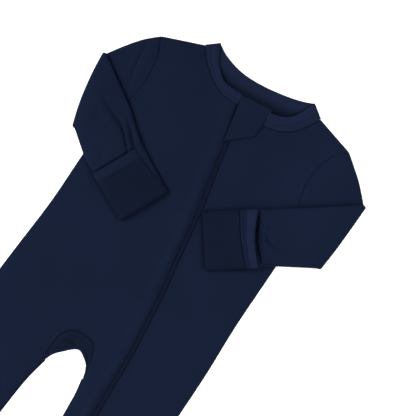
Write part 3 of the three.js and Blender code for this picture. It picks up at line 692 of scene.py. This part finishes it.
def plain(name, colour, roughness, specular=0.3, metallic=0.0):
    material = bpy.data.materials.new(name)
    material.use_nodes = True
    nodes, links = material.node_tree.nodes, material.node_tree.links
    shader = nodes["Principled BSDF"]
    where = nodes.new("ShaderNodeTexCoord").outputs["Object"]
    grain = nodes.new("ShaderNodeTexNoise")
    grain.inputs["Scale"].default_value = 1800
    links.new(where, grain.inputs["Vector"])
    mix = nodes.new("ShaderNodeMix")
    mix.data_type = "RGBA"
    mix.inputs["A"].default_value = (*[c * 0.8 for c in colour], 1)
    mix.inputs["B"].default_value = (*[c * 1.2 for c in colour], 1)
    links.new(grain.outputs[0], mix.inputs["Factor"])
    links.new(mix.outputs["Result"], shader.inputs["Base Color"])
    shader.inputs["Roughness"].default_value = roughness
    shader.inputs["Specular IOR Level"].default_value = specular
    shader.inputs["Metallic"].default_value = metallic
    return material


jersey = knit("jersey", NAVY)
jersey_gusset_shaded = knit("jersey_gusset_shaded", NAVY_GUSSET_SHADED)
jersey_sleeve_right = knit("jersey_sleeve_right", NAVY, turn=math.radians(-30))
jersey_sleeve_left = knit("jersey_sleeve_left", NAVY, turn=math.radians(37))
jersey_mitten_right_shaded = knit("jersey_mitten_right_shaded", NAVY_MITTEN_SHADED, turn=math.radians(-25))
jersey_mitten_left_shaded = knit("jersey_mitten_left_shaded", NAVY_MITTEN_SHADED, turn=math.radians(37))
binding = knit("binding", NAVY_BAND_LIT, wale=1.0, course=0.7, bump=0.00014, painted_shade_on=True)
binding_left = knit("binding_left", NAVY_BAND_LIT, turn=math.radians(37), wale=1.0, course=0.7, bump=0.00014)
thread = plain("thread", NAVY_THREAD, 0.75, specular=0.06)
tape_finish = plain("zip_tape", NAVY_TAPE, 0.85, specular=0.04)
coil_finish = plain("zip_coil", NAVY_TAPE, 0.75, specular=0.05)
slider_finish = plain("zip_slider", NAVY, 0.4, specular=0.5, metallic=0.3)

# ------------------------------------------------------------------ body

HALF_GAP = SEAM_GAP / 2
panel_crotch = offset(gusset_seam, HALF_GAP)
back_crotch = offset(gusset_seam, BACK_INSET)
back_outline = np.vstack(
    [
        offset(back_neck_seam, -HALF_GAP),
        offset(armhole_left, -HALF_GAP),
        offset(side_left, -BACK_INSET)[1:],
        offset(gap_left, -BACK_INSET)[:0:-1],
        back_crotch[::-1],
        offset(gap_right, -BACK_INSET)[-2::-1],
        offset(side_right, BACK_INSET)[:0:-1],
        offset(armhole_right, HALF_GAP)[::-1],
    ]
)
right_outline = np.vstack(
    [
        offset(front_seam_right, HALF_GAP),
        offset(armhole_right, HALF_GAP),
        side_right[1:],
        gap_right,
        panel_crotch,
        gap_left,
        offset(below_zip, -HALF_GAP)[::-1],
        zip_line[(zip_line[:, 1] < FRONT_SEAM_RIGHT[0][1] - 1)][-2::-1],
    ]
)
left_outline = np.vstack(
    [
        offset(front_seam_left, -HALF_GAP),
        offset(armhole_left, -HALF_GAP),
        side_left[1:],
        offset(below_zip, HALF_GAP)[::-1],
        coil_far[(coil_far[:, 1] < FRONT_SEAM_LEFT[0][1] - 1)][::-1],
    ]
)


def back_height(points):
    """The back lies flat on the floor."""
    return np.full(len(points), FLOOR_GAP + WALL)


body = {
    "back": panel("cloth_back", back_outline, back_height, jersey, net=4.5),
    "front_right": panel("cloth_front_right", right_outline, right_front_height, jersey),
    "front_left": panel("cloth_front_left", left_outline, left_front_height, jersey),
}


def gusset_table():
    """A crescent on the front, folded over the crotch edge to the same crescent on the back."""
    count = 70
    seams = share_of(offset(gusset_seam, -HALF_GAP), np.linspace(0, 1, count))
    edges = share_of(gap_crotch, np.linspace(0, 1, count))
    columns = []
    reach = edges - seams
    length = np.hypot(*reach.T)
    toward = reach / np.maximum(length, 0.01)[:, None]
    toward[0], toward[-1] = toward[1], toward[-2]
    bend = np.minimum(0.7, length / 2)
    floor_z = np.full(count, FLOOR_GAP + WALL / 2)
    for u in np.linspace(0, 1, 16):
        xy = seams + toward * ((length - bend) * u)[:, None]
        columns.append(np.column_stack([xy, gusset_height(xy) - WALL / 2]))
    brink = columns[-1]
    middle, half = (brink[:, 2] + floor_z) / 2, (brink[:, 2] - floor_z) / 2
    for degrees in (65, 40, 15, -15, -40, -65):
        angle = math.radians(degrees)
        xy = brink[:, :2] + toward * (bend * math.cos(angle))[:, None]
        columns.append(np.column_stack([xy, middle + half * math.sin(angle)]))
    back_seams = share_of(offset(gusset_seam, BACK_INSET - SEAM_GAP), np.linspace(0, 1, count))
    for u in (1, 0.66, 0.33, 0):
        xy = back_seams + (brink[:, :2] - back_seams) * u
        columns.append(np.column_stack([xy, floor_z]))
    return np.stack(columns, axis=1)


gusset_rows = gusset_table()
gusset = sheet_over("cloth_gusset", gusset_rows, WALL, jersey_gusset_shaded, flip=True)

# ------------------------------------------------------------------ neckband

BAND_COLUMNS = 22
band_share = np.linspace(0, 1, BAND_COLUMNS)
BAND_GROOVES = (1.9, 5.0)  # stitch rows, from the seam


def band_profile(width):
    """Height of the band across its width: rounded free edge, two stitched grooves, seam."""
    from_seam = (1 - band_share) * width
    from_edge = band_share * width
    z = 0.9 * np.exp(-(((from_edge - 4.2) / 3.6) ** 2))
    for groove in BAND_GROOVES:
        z = z - 0.85 * np.exp(-(((from_seam - groove) / 0.7) ** 2))
    return z - 0.7 * np.exp(-((from_seam / 1.0) ** 2))


def matched(line, count):
    return share_of(line, np.linspace(0, 1, count))


def front_band(edge_line, seam_line, count):
    edges, seams = matched(edge_line, count), matched(seam_line, count)
    xy = edges[:, None] + (seams - edges)[:, None] * band_share[None, :, None]
    flat = xy.reshape(-1, 2)
    z = (front_top(flat) - BAND_WALL / 2 + 1.2).reshape(count, BAND_COLUMNS)
    return np.concatenate([xy, (z + band_profile(NECKBAND_WIDTH))[..., None]], axis=2)


def band_turn(edge, seam, side):
    """The band folds over at a shoulder, from the front down to the floor."""
    middle = 1.55
    radius = 0.78
    rows = []
    for degrees in (80, 60, 35, 10, -15, -40, -65, -85):
        angle = math.radians(degrees)
        out = side * radius * (math.cos(angle) - 1)
        z = middle + radius * math.sin(angle)
        a, b = np.array(edge) + (out, 0), np.array(seam) + (out, 0)
        xy = a + (b - a) * band_share[:, None]
        rows.append(np.column_stack([xy, np.full(BAND_COLUMNS, z)]))
    return np.array(rows)


def back_band():
    count = 60
    edges, seams = matched(back_neck_edge, count), matched(back_neck_seam, count)
    xy = edges[:, None] + (seams - edges)[:, None] * band_share[None, :, None]
    rise = 2.5 * np.sin(np.pi * np.clip(band_share * 0.8 + 0.28, 0, 1)) ** 1.6
    ends = np.minimum(1, 6 * np.minimum(np.linspace(0, 1, count), np.linspace(1, 0, count)))
    z = 0.8 + ends[:, None] * rise[None, :]
    return np.concatenate([xy, z[..., None]], axis=2)


right_band = front_band(front_edge_right, front_seam_right, 60)
from_end = np.hypot(*(right_band[..., :2] - right_band[:1, :, :2]).transpose(2, 0, 1))
for at in (4.2, 6.2):
    right_band[..., 2] -= 0.55 * np.exp(-(((from_end - at) / 0.6) ** 2))
left_band = front_band(front_edge_left, front_seam_left, 50)
behind = back_band()
turn_right = band_turn(behind[0, 0, :2], behind[0, -1, :2], -1)
turn_left = band_turn(behind[-1, 0, :2], behind[-1, -1, :2], 1)
neck_table = np.concatenate([right_band[:-1], turn_right, behind[1:-1], turn_left[::-1], left_band[-2::-1]])
neckband = sheet_over("cloth_neckband", neck_table, BAND_WALL, binding, flip=True)

# Painted shade: inside the neck the band's colour is darkened towards the front edge, in place of the shadow
# there, and lightened a little at its free edge.
# By the share of the band's width from its free edge.
PAINTED_SHADE = {0: 1.05, 0.35: 0.98, 0.62: 0.72, 0.9: 0.42}
first_inner = len(right_band) - 1 + len(turn_right)
painted_shade = np.ones(neck_table.shape[:2])
painted_shade[first_inner : first_inner + len(behind) - 2] = np.interp(band_share, list(PAINTED_SHADE), list(PAINTED_SHADE.values()))
painted_shade_attribute = neckband.data.attributes.new("painted_shade", "FLOAT", "POINT")
painted_shade_attribute.data.foreach_set("value", np.tile(painted_shade.ravel(), 2))

# ------------------------------------------------------------------ sleeves

ACROSS = 66
step = np.linspace(0, 1, ACROSS + 1)
across = step - 0.12 * np.sin(2 * np.pi * step)
AXIS_Z = SLEEVE_EDGE + FOLD_GAP / 2


def edge_share(width, radius=EDGE_ROUND):
    """From 0 at a sleeve's edges to 1 further in, as a quarter round."""
    gap = np.minimum(across, 1 - across) * width
    return np.sqrt(1 - (1 - np.clip(gap / radius, 0, 1)) ** 2)


def ring_of(xy, low, high):
    """A ring round the sleeve: over its first face, and back over the other."""
    width = np.hypot(*(xy[-1] - xy[0]))
    middle = (low + high) / 2
    half = (high - low) / 2 * edge_share(width)
    face = np.column_stack([xy, middle + half])
    floor = np.column_stack([xy, middle - half])
    return np.vstack([face, floor[-2:0:-1]])


def forearm_at(spec, along):
    """The line across a forearm at a share of its length."""
    stations = [{"along": 0.0, "upper": spec["fold"][0], "lower": spec["fold"][-1]}, *spec["forearm"]]
    keys = [row["along"] for row in stations]
    upper = [np.interp(along, keys, [row["upper"][axis] for row in stations]) for axis in range(2)]
    lower = [np.interp(along, keys, [row["lower"][axis] for row in stations]) for axis in range(2)]
    straight = np.array(upper) + (np.array(lower) - upper) * across[:, None]
    fold = share_of(smooth(spec["fold"], 2), across)
    ends = np.array(spec["fold"][0]) + (np.array(spec["fold"][-1]) - spec["fold"][0]) * across[:, None]
    bow = max(0.0, 1 - along / 0.3)
    return straight + (fold - ends) * bow


def forearm_thickness(xy, along):
    """Fuller along its middle, and flatter towards the cuff."""
    width = np.hypot(*(xy[-1] - xy[0]))
    gap = np.minimum(across, 1 - across) * width
    taper = 1 - CUFF_TAPER * np.clip((along - 0.7) / 0.3, 0, 1)
    return (SLEEVE_EDGE + SLEEVE_LIFT * (1 - np.exp(-gap / SLEEVE_REACH))) * taper


def forearm_low(xy):
    return front_top(xy) + REST


def forearm_smooth(xy, along):
    """The forearm's top side without its creases."""
    puff = 1 + 0.15 * swell(xy, 45, 8)
    return forearm_low(xy) + forearm_thickness(xy, along) * puff


def forearm_high(xy, surface, along):
    creased = forearm_smooth(xy, along) + creases(xy, surface)
    return np.maximum(creased, forearm_low(xy) + LEAST_SLEEVE)


def sleeve_rings(spec, side):
    """A straight sleeve laid flat, folded once, its forearm lying back over the chest."""
    armhole = share_of(smooth(spec["armhole"], 2), across)
    fold = share_of(smooth(spec["fold"], 2), across)
    upper_edge = smooth(spec["upper_edge"], 2)
    rings = []
    for t in np.linspace(0, 1, 36)[:-1]:
        xy = armhole + (fold - armhole) * t
        edge_point = share_of(upper_edge, [t])[0]
        pull = np.exp(-across * 9)[:, None]
        xy = xy + (edge_point - xy[0]) * pull
        high = front_top(xy) + creases(xy, "upper_" + side)
        high = high - SEAM_DIP * math.exp(-((t * 45 / SEAM_DIP_WIDTH) ** 2)) - pressed(xy)
        high = np.maximum(high, SLEEVE_FLOOR + LEAST_SLEEVE)
        rings.append(ring_of(xy, np.full(len(xy), SLEEVE_FLOOR), high))
    width = np.hypot(*(fold[-1] - fold[0]))
    round_off = edge_share(width)
    reach = 0.1 + 0.9 * edge_share(width, FOLD_ROUND)
    for degrees in np.linspace(-90, 90, 11):
        angle = math.radians(degrees)
        half = SLEEVE_EDGE / 2 * round_off
        middle = SLEEVE_EDGE / 2 + FOLD_GAP / 2
        face_r, floor_r = middle - half, middle + half
        out = spec["outward"] * math.cos(angle) * reach
        face = np.column_stack([fold[:, 0] + out * face_r, fold[:, 1], AXIS_Z + face_r * math.sin(angle)])
        floor = np.column_stack([fold[:, 0] + out * floor_r, fold[:, 1], AXIS_Z + floor_r * math.sin(angle)])
        rings.append(np.vstack([face, floor[-2:0:-1]]))
    for along in np.linspace(0, 1, 160)[4:]:
        xy = forearm_at(spec, along)
        low, high = forearm_low(xy), forearm_high(xy, "forearm_" + side, along)
        rings.append(ring_of(xy, high, low))
    return np.array(rings)


sleeves, rings_of = {}, {}
for side, spec, material in (
    ("right", SLEEVE_RIGHT, jersey_sleeve_right),
    ("left", SLEEVE_LEFT, jersey_sleeve_left),
):
    rings_of[side] = sleeve_rings(spec, side)
    flip = spec["outward"] < 0
    sleeves[side] = tube_through("cloth_sleeve_" + side, rings_of[side], WALL, flip, material)

# ------------------------------------------------------------------ mittens

MITTEN_OUT = 0.9  # how far a mitten stands out past the sleeve's edges
MITTEN_DROP = 3.2  # how far it turns down there
MITTEN_ROUND = 3.0  # how far in from its edges it starts to
AHEAD = 0.01  # of the forearm's length, to find which way it runs


def over_forearm(spec, along, first_edge):
    """Points across a forearm from a share of its width to its far edge, and the forearm's height there."""
    line = forearm_at(spec, along)
    high = forearm_smooth(line, along)
    share = first_edge + (1 - first_edge) * across
    xy = np.column_stack([np.interp(share, across, line[:, axis]) for axis in range(2)])
    z = np.interp(share, across, high)
    width = np.hypot(*(line[-1] - line[0]))
    toward = (line[-1] - line[0]) / width
    spread = (2 * across - 1)[:, None] ** 3
    return xy + toward * spread * MITTEN_OUT, z, width * (1 - first_edge)


def mitten_rows(spec, stations):
    rows = []
    for row in stations:
        xy, z, width = over_forearm(spec, row["along"], row["edge"])
        onward = (over_forearm(spec, row["along"] + AHEAD, row["edge"])[0] - xy) / AHEAD
        shift = row["bow"] * np.sin(np.pi * across) + row["skew"] * (across - 0.5)
        xy = xy + onward * shift[:, None]
        gap = np.minimum(across, 1 - across) * width
        z = z + REST + WALL / 2 + row["lift"] * np.sin(np.pi * across) ** row["fullness"]
        z = z - round_edge(gap, MITTEN_ROUND, MITTEN_DROP)
        rows.append(np.column_stack([xy, z]))
    return np.array(rows)


def end_turn(rows):
    """A mitten goes on past the sleeve's end and turns down over it."""
    away = rows[-1, :, :2] - rows[-2, :, :2]
    away /= np.linalg.norm(away, axis=1, keepdims=True)
    made = [rows]
    for degrees in (25, 50, 70, 90):
        angle = math.radians(degrees)
        turned = rows[-1].copy()
        turned[:, :2] += away * 2.2 * math.sin(angle)
        turned[:, 2] -= 3.2 * (1 - math.cos(angle))
        made.append(turned[None])
    turned = made[-1].copy()
    turned[..., 2] -= 1.0
    made.append(turned)
    return np.concatenate(made)


def stations(start, stop, count, edges, lift, bow=0.0, skews=(0, 0)):
    """Rows along a forearm: where they start across it, their height, and how they bow and slant."""
    rows = []
    for t in np.linspace(0, 1, count):
        along = start + (stop - start) * t
        rows.append(
            {
                "along": along,
                "edge": edges[0] + (edges[1] - edges[0]) * t,
                "lift": lift(t),
                "bow": bow * math.exp(-(((along - MOUTH) / 0.14) ** 2)),
                "skew": skews[0] + (skews[1] - skews[0]) * t,
                "fullness": 0.4 if bow > 0.02 else 0.8,
            }
        )
    return rows


MITTEN_LENGTH = 57.0
MOUTH = 0.6  # where a mitten's mouth is, as a share of the forearm
HEM_WIDTH = 10.5


def hem_roll(t):
    """The right mitten's mouth: a soft turned hem, about 10 mm wide."""
    mm = t * MITTEN_LENGTH
    ramp = 0.6 + 1.5 * min(mm / 8.5, 1)
    ledge = 1 / (1 + math.exp(-(HEM_WIDTH - mm) / 0.5))
    return 0.6 + ramp * ledge - 0.7 * math.exp(-((mm / 0.9) ** 2))


def paint_lit_rows(piece, first_rows, material):
    """Gives a wall's first rows a lighter copy of the cloth: painted highlight where they stand up into the
    light.
    """
    columns = len(across)
    count = len(piece.data.vertices) // 2
    piece.data.materials.append(material)
    for polygon in piece.data.polygons:
        if max(vertex % count // columns for vertex in polygon.vertices) <= first_rows:
            polygon.material_index = 1


RIGHT_ROWS = 58
right_rows = mitten_rows(SLEEVE_RIGHT, stations(MOUTH, 1.0, RIGHT_ROWS, (0.165, 0.0), hem_roll, 0.012))
mitten_right = sheet_over(
    "cloth_mitten_right", end_turn(right_rows), WALL, jersey_mitten_right_shaded
)
# Painted highlight: the hem keeps the sleeve's lighter colour against the darker mitten.
paint_lit_rows(mitten_right, round(HEM_WIDTH / MITTEN_LENGTH * RIGHT_ROWS), jersey_sleeve_right)

BAND_WIDTH = 16.0
BINDING_EDGE = 9.4  # width of the binding that stands past its stitches
band_stop = MOUTH + (1 - MOUTH) * BAND_WIDTH / MITTEN_LENGTH
BOW = 0.026
SKEW = -0.042  # the binding is wider at the forearm's upper edge


def mouth_lift(t):
    return 4.6 * math.exp(-((t * MITTEN_LENGTH / 20) ** 2))


def band_lift(t):
    mm = t * BAND_WIDTH
    grooves = sum(0.9 * math.exp(-(((mm - at) / 0.7) ** 2)) for at in (BINDING_EDGE, 12.6))
    edge = 0.8 * math.exp(-((mm / 0.8) ** 2))
    return mouth_lift(t * BAND_WIDTH / MITTEN_LENGTH) + 0.5 - grooves - edge


def pocket_lift(t):
    start = BAND_WIDTH / MITTEN_LENGTH
    return mouth_lift(start + (1 - start) * t) - 0.5 * math.exp(-((t * 40 / 1.0) ** 2))


band_stations = stations(MOUTH, band_stop, 36, (0, 0), band_lift, BOW, (0, SKEW))
band_rows_left = mitten_rows(SLEEVE_LEFT, band_stations)
mitten_band = sheet_over(
    "cloth_mitten_band_left", band_rows_left, BAND_WALL, jersey_sleeve_left, flip=True
)
# Painted highlight: the binding's free edge, past its stitches, takes the lighter band colour.
paint_lit_rows(mitten_band, round(BINDING_EDGE / BAND_WIDTH * len(band_rows_left)), binding_left)
pocket_stations = stations(band_stop + 0.001, 1.0, 34, (0, 0), pocket_lift, BOW, (SKEW, 0))
pocket_rows = mitten_rows(SLEEVE_LEFT, pocket_stations)
mitten_left = sheet_over(
    "cloth_mitten_left", end_turn(pocket_rows), WALL, jersey_mitten_left_shaded, flip=True
)

# ------------------------------------------------------------------ zip

zip_middle = offset(zip_line, COIL_WIDTH / 2)
COIL_SINK = 0.0  # of the coil's middle below the front


def tape_table(side):
    """The tape's middle surface, from the closing line out to where it runs under the front."""
    outs = np.array([0.1, 0.8, 1.6, 2.4, 4, 7, 11])
    rows = []
    for out in outs:
        xy = offset(zip_middle, side * out)
        z = front_top(xy) - COIL_SINK - 0.9 - (0.9 if out > 2.6 else 0)
        rows.append(np.column_stack([xy, np.maximum(z, 1.8)]))
    return np.array(rows)


for side_name, side in (("right", -1), ("left", 1)):
    sheet_over(
        "zip_tape_" + side_name + "_cloth", tape_table(side), 0.6, tape_finish, flip=side > 0
    )


def capsule(length, radius, squash=1.0, sides=6):
    """A small rounded bar along X: points and faces."""
    rings = [(-0.5, 0.35), (-0.42, 0.85), (-0.2, 1.0), (0.2, 1.0), (0.42, 0.85), (0.5, 0.35)]
    points = []
    for x, r in rings:
        for i in range(sides):
            angle = 2 * math.pi * i / sides
            points.append((x * length, r * radius * math.cos(angle), r * radius * squash * math.sin(angle)))
    faces = []
    for ring in range(len(rings) - 1):
        for i in range(sides):
            j = (i + 1) % sides
            a, b = ring * sides + i, ring * sides + j
            faces.append((a, b, b + sides, a + sides))
    last = (len(rings) - 1) * sides
    faces.append(tuple(range(sides))[::-1])
    faces.append(tuple(last + i for i in range(sides)))
    return np.array(points), faces


def scatter(name, piece, places, turns, material):
    """Copies of one small piece, joined into one mesh."""
    points, faces = piece
    all_points, all_faces = [], []
    for i, (place, turn) in enumerate(zip(places, turns)):
        c, s = math.cos(turn), math.sin(turn)
        x = points[:, 0] * c - points[:, 1] * s
        y = points[:, 0] * s + points[:, 1] * c
        all_points.append(np.column_stack([x, y, points[:, 2]]) + place)
        all_faces.extend([tuple(v + i * len(points) for v in face) for face in faces])
    return new_object(name, np.vstack(all_points), all_faces, material)


TOOTH_PITCH = 1.35
TOOTH_OUT = 0.75  # from the middle of the coil
TOOTH_LEAN = 0.22  # radians
TOOTH_JITTER = 0.12  # of height, in mm, and of turn, in radians
tooth_line = spaced(zip_middle[1:], TOOTH_PITCH / 2)
tooth_way = directions(tooth_line)
tooth_z = front_top(tooth_line) - COIL_SINK
teeth_places, teeth_turns = [], []
teeth_random = np.random.default_rng(5)
for i, (point, way) in enumerate(zip(tooth_line, tooth_way)):
    side = 1 if i % 2 else -1
    out = np.array([-way[1], way[0]]) * side * TOOTH_OUT
    tooth_height = tooth_z[i] + teeth_random.uniform(-TOOTH_JITTER, TOOTH_JITTER)
    teeth_places.append((point[0] + out[0], point[1] + out[1], tooth_height))
    lean = TOOTH_LEAN * side + teeth_random.uniform(-TOOTH_JITTER, TOOTH_JITTER)
    teeth_turns.append(math.atan2(out[1], out[0]) + lean)
scatter("zip_coil", capsule(4.7, 0.45, 1.1), teeth_places, teeth_turns, coil_finish)

# ------------------------------------------------------------------ zip guard


def guard_point(u, v):
    inner = np.array(GUARD["bottom_inner"]) + (np.array(GUARD["top_inner"]) - GUARD["bottom_inner"]) * v
    outer = np.array(GUARD["bottom_outer"]) + (np.array(GUARD["top_outer"]) - GUARD["bottom_outer"]) * v
    return inner + (outer - inner) * u


GUARD_STEPS = 34
GUARD_SIDES = (((0, 0), (1, 0)), ((1, 0), (1, 1)), ((0, 0), (0, 1)), ((0, 1), (1, 1)))
guard_steps = np.linspace(0, 1, GUARD_STEPS)
guard_xy = np.array([[guard_point(u, v) for u in guard_steps] for v in guard_steps])
guard_flat = guard_xy.reshape(-1, 2)
guard_edges = [np.array([guard_point(*corner) for corner in pair]) for pair in GUARD_SIDES]
guard_gap = distance(guard_flat, *guard_edges)
uu, vv = np.meshgrid(guard_steps, guard_steps)
over_slider = np.exp(-(((uu - 0.25) / 0.45) ** 2)) * np.clip((vv - 0.1) / 0.35, 0, 1)
guard_z = front_top(guard_flat) + 1.7 + 1.2 * over_slider.ravel()
guard_z -= round_edge(guard_gap, 1.8, 0.9)
guard_table = np.concatenate([guard_xy, guard_z.reshape(GUARD_STEPS, GUARD_STEPS)[..., None]], axis=2)
zip_guard = sheet_over("cloth_zip_guard", guard_table, WALL, jersey)

# ------------------------------------------------------------------ slider, hidden under the guard

SLIDER_DOWN = 13  # from the top of the zip
SLIDER_SHIFT = 2.6  # towards the left front
slider_row = int(SLIDER_DOWN / 2.5)
slider_way = directions(zip_middle)[slider_row]
slider_turn = math.atan2(slider_way[1], slider_way[0])
slider_seat = offset(zip_middle, SLIDER_SHIFT)[slider_row : slider_row + 1]
slider_at = np.append(slider_seat[0], front_top(slider_seat)[0] + 0.2)
slider_body, slider_faces = capsule(9, 2.6, 0.35, sides=16)
pull_body, pull_faces = capsule(16, 1.9, 0.16, sides=16)
slider_points = np.vstack([slider_body, pull_body + (10, 0, 0.7)])
slider_faces = [*slider_faces, *[tuple(v + len(slider_body) for v in face) for face in pull_faces]]
slider_piece = (slider_points, slider_faces)
slider = scatter("zip_slider_metal", slider_piece, [slider_at], [slider_turn], slider_finish)

# ------------------------------------------------------------------ stitches

STITCH = 2.6  # length of a stitch
STITCH_GAP = 0.55
HEM_STITCH_Y = -545


def stitch_row(name, line, height, lift=0.1):
    """A row of thread stitches lying along a line on the cloth."""
    line = spaced(line, STITCH + STITCH_GAP)
    way = directions(line)
    z = height(line) + lift
    places = np.column_stack([line, z])
    turns = np.arctan2(way[:, 1], way[:, 0])
    scatter(name, capsule(STITCH, 0.26, 0.8), places, turns, thread)


def band_surface(table):
    """Height of a band's top side at points near its rows."""
    flat = table.reshape(-1, 3)

    def height(points):
        gap = np.hypot(points[:, None, 0] - flat[None, :, 0], points[:, None, 1] - flat[None, :, 1])
        return flat[gap.argmin(axis=1), 2] + BAND_WALL / 2

    return height


for name, table in (("right", right_band), ("left", left_band)):
    for i, from_seam in enumerate(BAND_GROOVES):
        column = 1 - from_seam / NECKBAND_WIDTH
        line = table[:, 0, :2] + (table[:, -1, :2] - table[:, 0, :2]) * column
        stitch_row(f"stitch_neck_{name}_{i}", line, band_surface(table))

zip_stitch = offset(coil_far[18:], 3.4)
stitch_row("stitch_zip_left", zip_stitch, left_front_height)
gusset_stitch = offset(gusset_seam[1:-1], -3.0)
stitch_row("stitch_gusset", gusset_stitch, gusset_height)
for name, start, stop, height in (
    ("right", -130, -48, right_front_height),
    ("inner", 42.5, 67.5, right_front_height),
    ("left", 72, 126.5, left_front_height),
):
    for i, up in enumerate((0, 4.5)):
        row = np.array([(start, HEM_STITCH_Y + up), (stop, HEM_STITCH_Y + up)], float)
        stitch_row(f"stitch_hem_{name}_{i}", row, height)

# ------------------------------------------------------------------ what each piece replaces

for name, piece in body.items():
    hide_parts(name)
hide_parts("gusset")
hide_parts("neckband")
for side_name in ("right", "left"):
    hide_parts("sleeve_" + side_name)
    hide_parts("zip_tape_" + side_name)
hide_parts("mitten_right")
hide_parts("mitten_left")
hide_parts("mitten_band_left")
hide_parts("zip_guard")
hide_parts("zip_slider")

# ------------------------------------------------------------------ floor, light, camera

floor_mesh = bpy.data.meshes.new("floor")
FLOOR = 4.0  # metres from the middle to each side
FLOOR_Z = -0.0004  # just under the garment
corners = [(-FLOOR, -FLOOR), (FLOOR, -FLOOR), (FLOOR, FLOOR), (-FLOOR, FLOOR)]
floor_mesh.from_pydata([(x, y, FLOOR_Z) for x, y in corners], [], [(0, 1, 2, 3)])
floor = bpy.data.objects.new("floor", floor_mesh)
bpy.context.scene.collection.objects.link(floor)
floor_material = bpy.data.materials.new("floor")
floor_material.use_nodes = True
floor_shader = floor_material.node_tree.nodes["Principled BSDF"]
floor_shader.inputs["Base Color"].default_value = (0.95, 0.95, 0.95, 1)
floor_shader.inputs["Roughness"].default_value = 0.9
floor_shader.inputs["Specular IOR Level"].default_value = 0.1
floor_shader.inputs["Emission Color"].default_value = (1, 1, 1, 1)
floor_shader.inputs["Emission Strength"].default_value = 0.35
floor_mesh.materials.append(floor_material)

scene = bpy.context.scene
world = bpy.data.worlds.new("studio")
scene.world = world
world.use_nodes = True
world.node_tree.nodes["Background"].inputs["Color"].default_value = (1, 1, 1, 1)
world.node_tree.nodes["Background"].inputs["Strength"].default_value = 0.40

ROLL = math.radians(34)  # the garment lies turned in the picture
right_way = Vector((math.cos(ROLL), math.sin(ROLL), 0))
up_way = Vector((-math.sin(ROLL), math.cos(ROLL), 0))
aim = Vector(((27.9 + NECK_X) * MM, (-149.6 + NECK_Y) * MM, 0.005))


def soft_light(name, across_way, up_share, height, size, power):
    """A large square lamp, placed by the picture's right and up directions."""
    data = bpy.data.lights.new(name, "AREA")
    data.shape = "SQUARE"
    data.size = size
    data.energy = power
    lamp = bpy.data.objects.new(name, data)
    scene.collection.objects.link(lamp)
    lamp.location = aim + right_way * across_way + up_way * up_share + Vector((0, 0, height))
    lamp.rotation_euler = (aim - lamp.location).to_track_quat("-Z", "Y").to_euler()


soft_light("key", -1.3, 1.1, 1.1, 0.9, 39)
soft_light("legs", -0.42, -0.38, 0.30, 0.3, 1.55)
soft_light("left_sleeve", 0.45, 0.0, 0.36, 0.3, 2.1)
soft_light("hem", 0.10, -0.42, 0.30, 0.3, 0.95)
soft_light("right_sleeve", -0.40, 0.14, 0.28, 0.3, 0.6)

LENS = 100
SENSOR = 36
VIEW_WIDTH = 457.6 * MM  # from side to side of the picture, at the garment
camera_data = bpy.data.cameras.new("camera")
camera_data.lens = LENS
camera_data.sensor_width = SENSOR
camera = bpy.data.objects.new("camera", camera_data)
scene.collection.objects.link(camera)
camera.location = aim + Vector((0, 0, VIEW_WIDTH * LENS / SENSOR))
camera.rotation_euler = (0, 0, ROLL)
scene.camera = camera
scene.view_settings.view_transform = "Standard"

# ------------------------------------------------------------------ a few tables built again, their results unused


end_turn(right_rows)
end_turn(pocket_rows)
tape_table(-1)
tape_table(1)
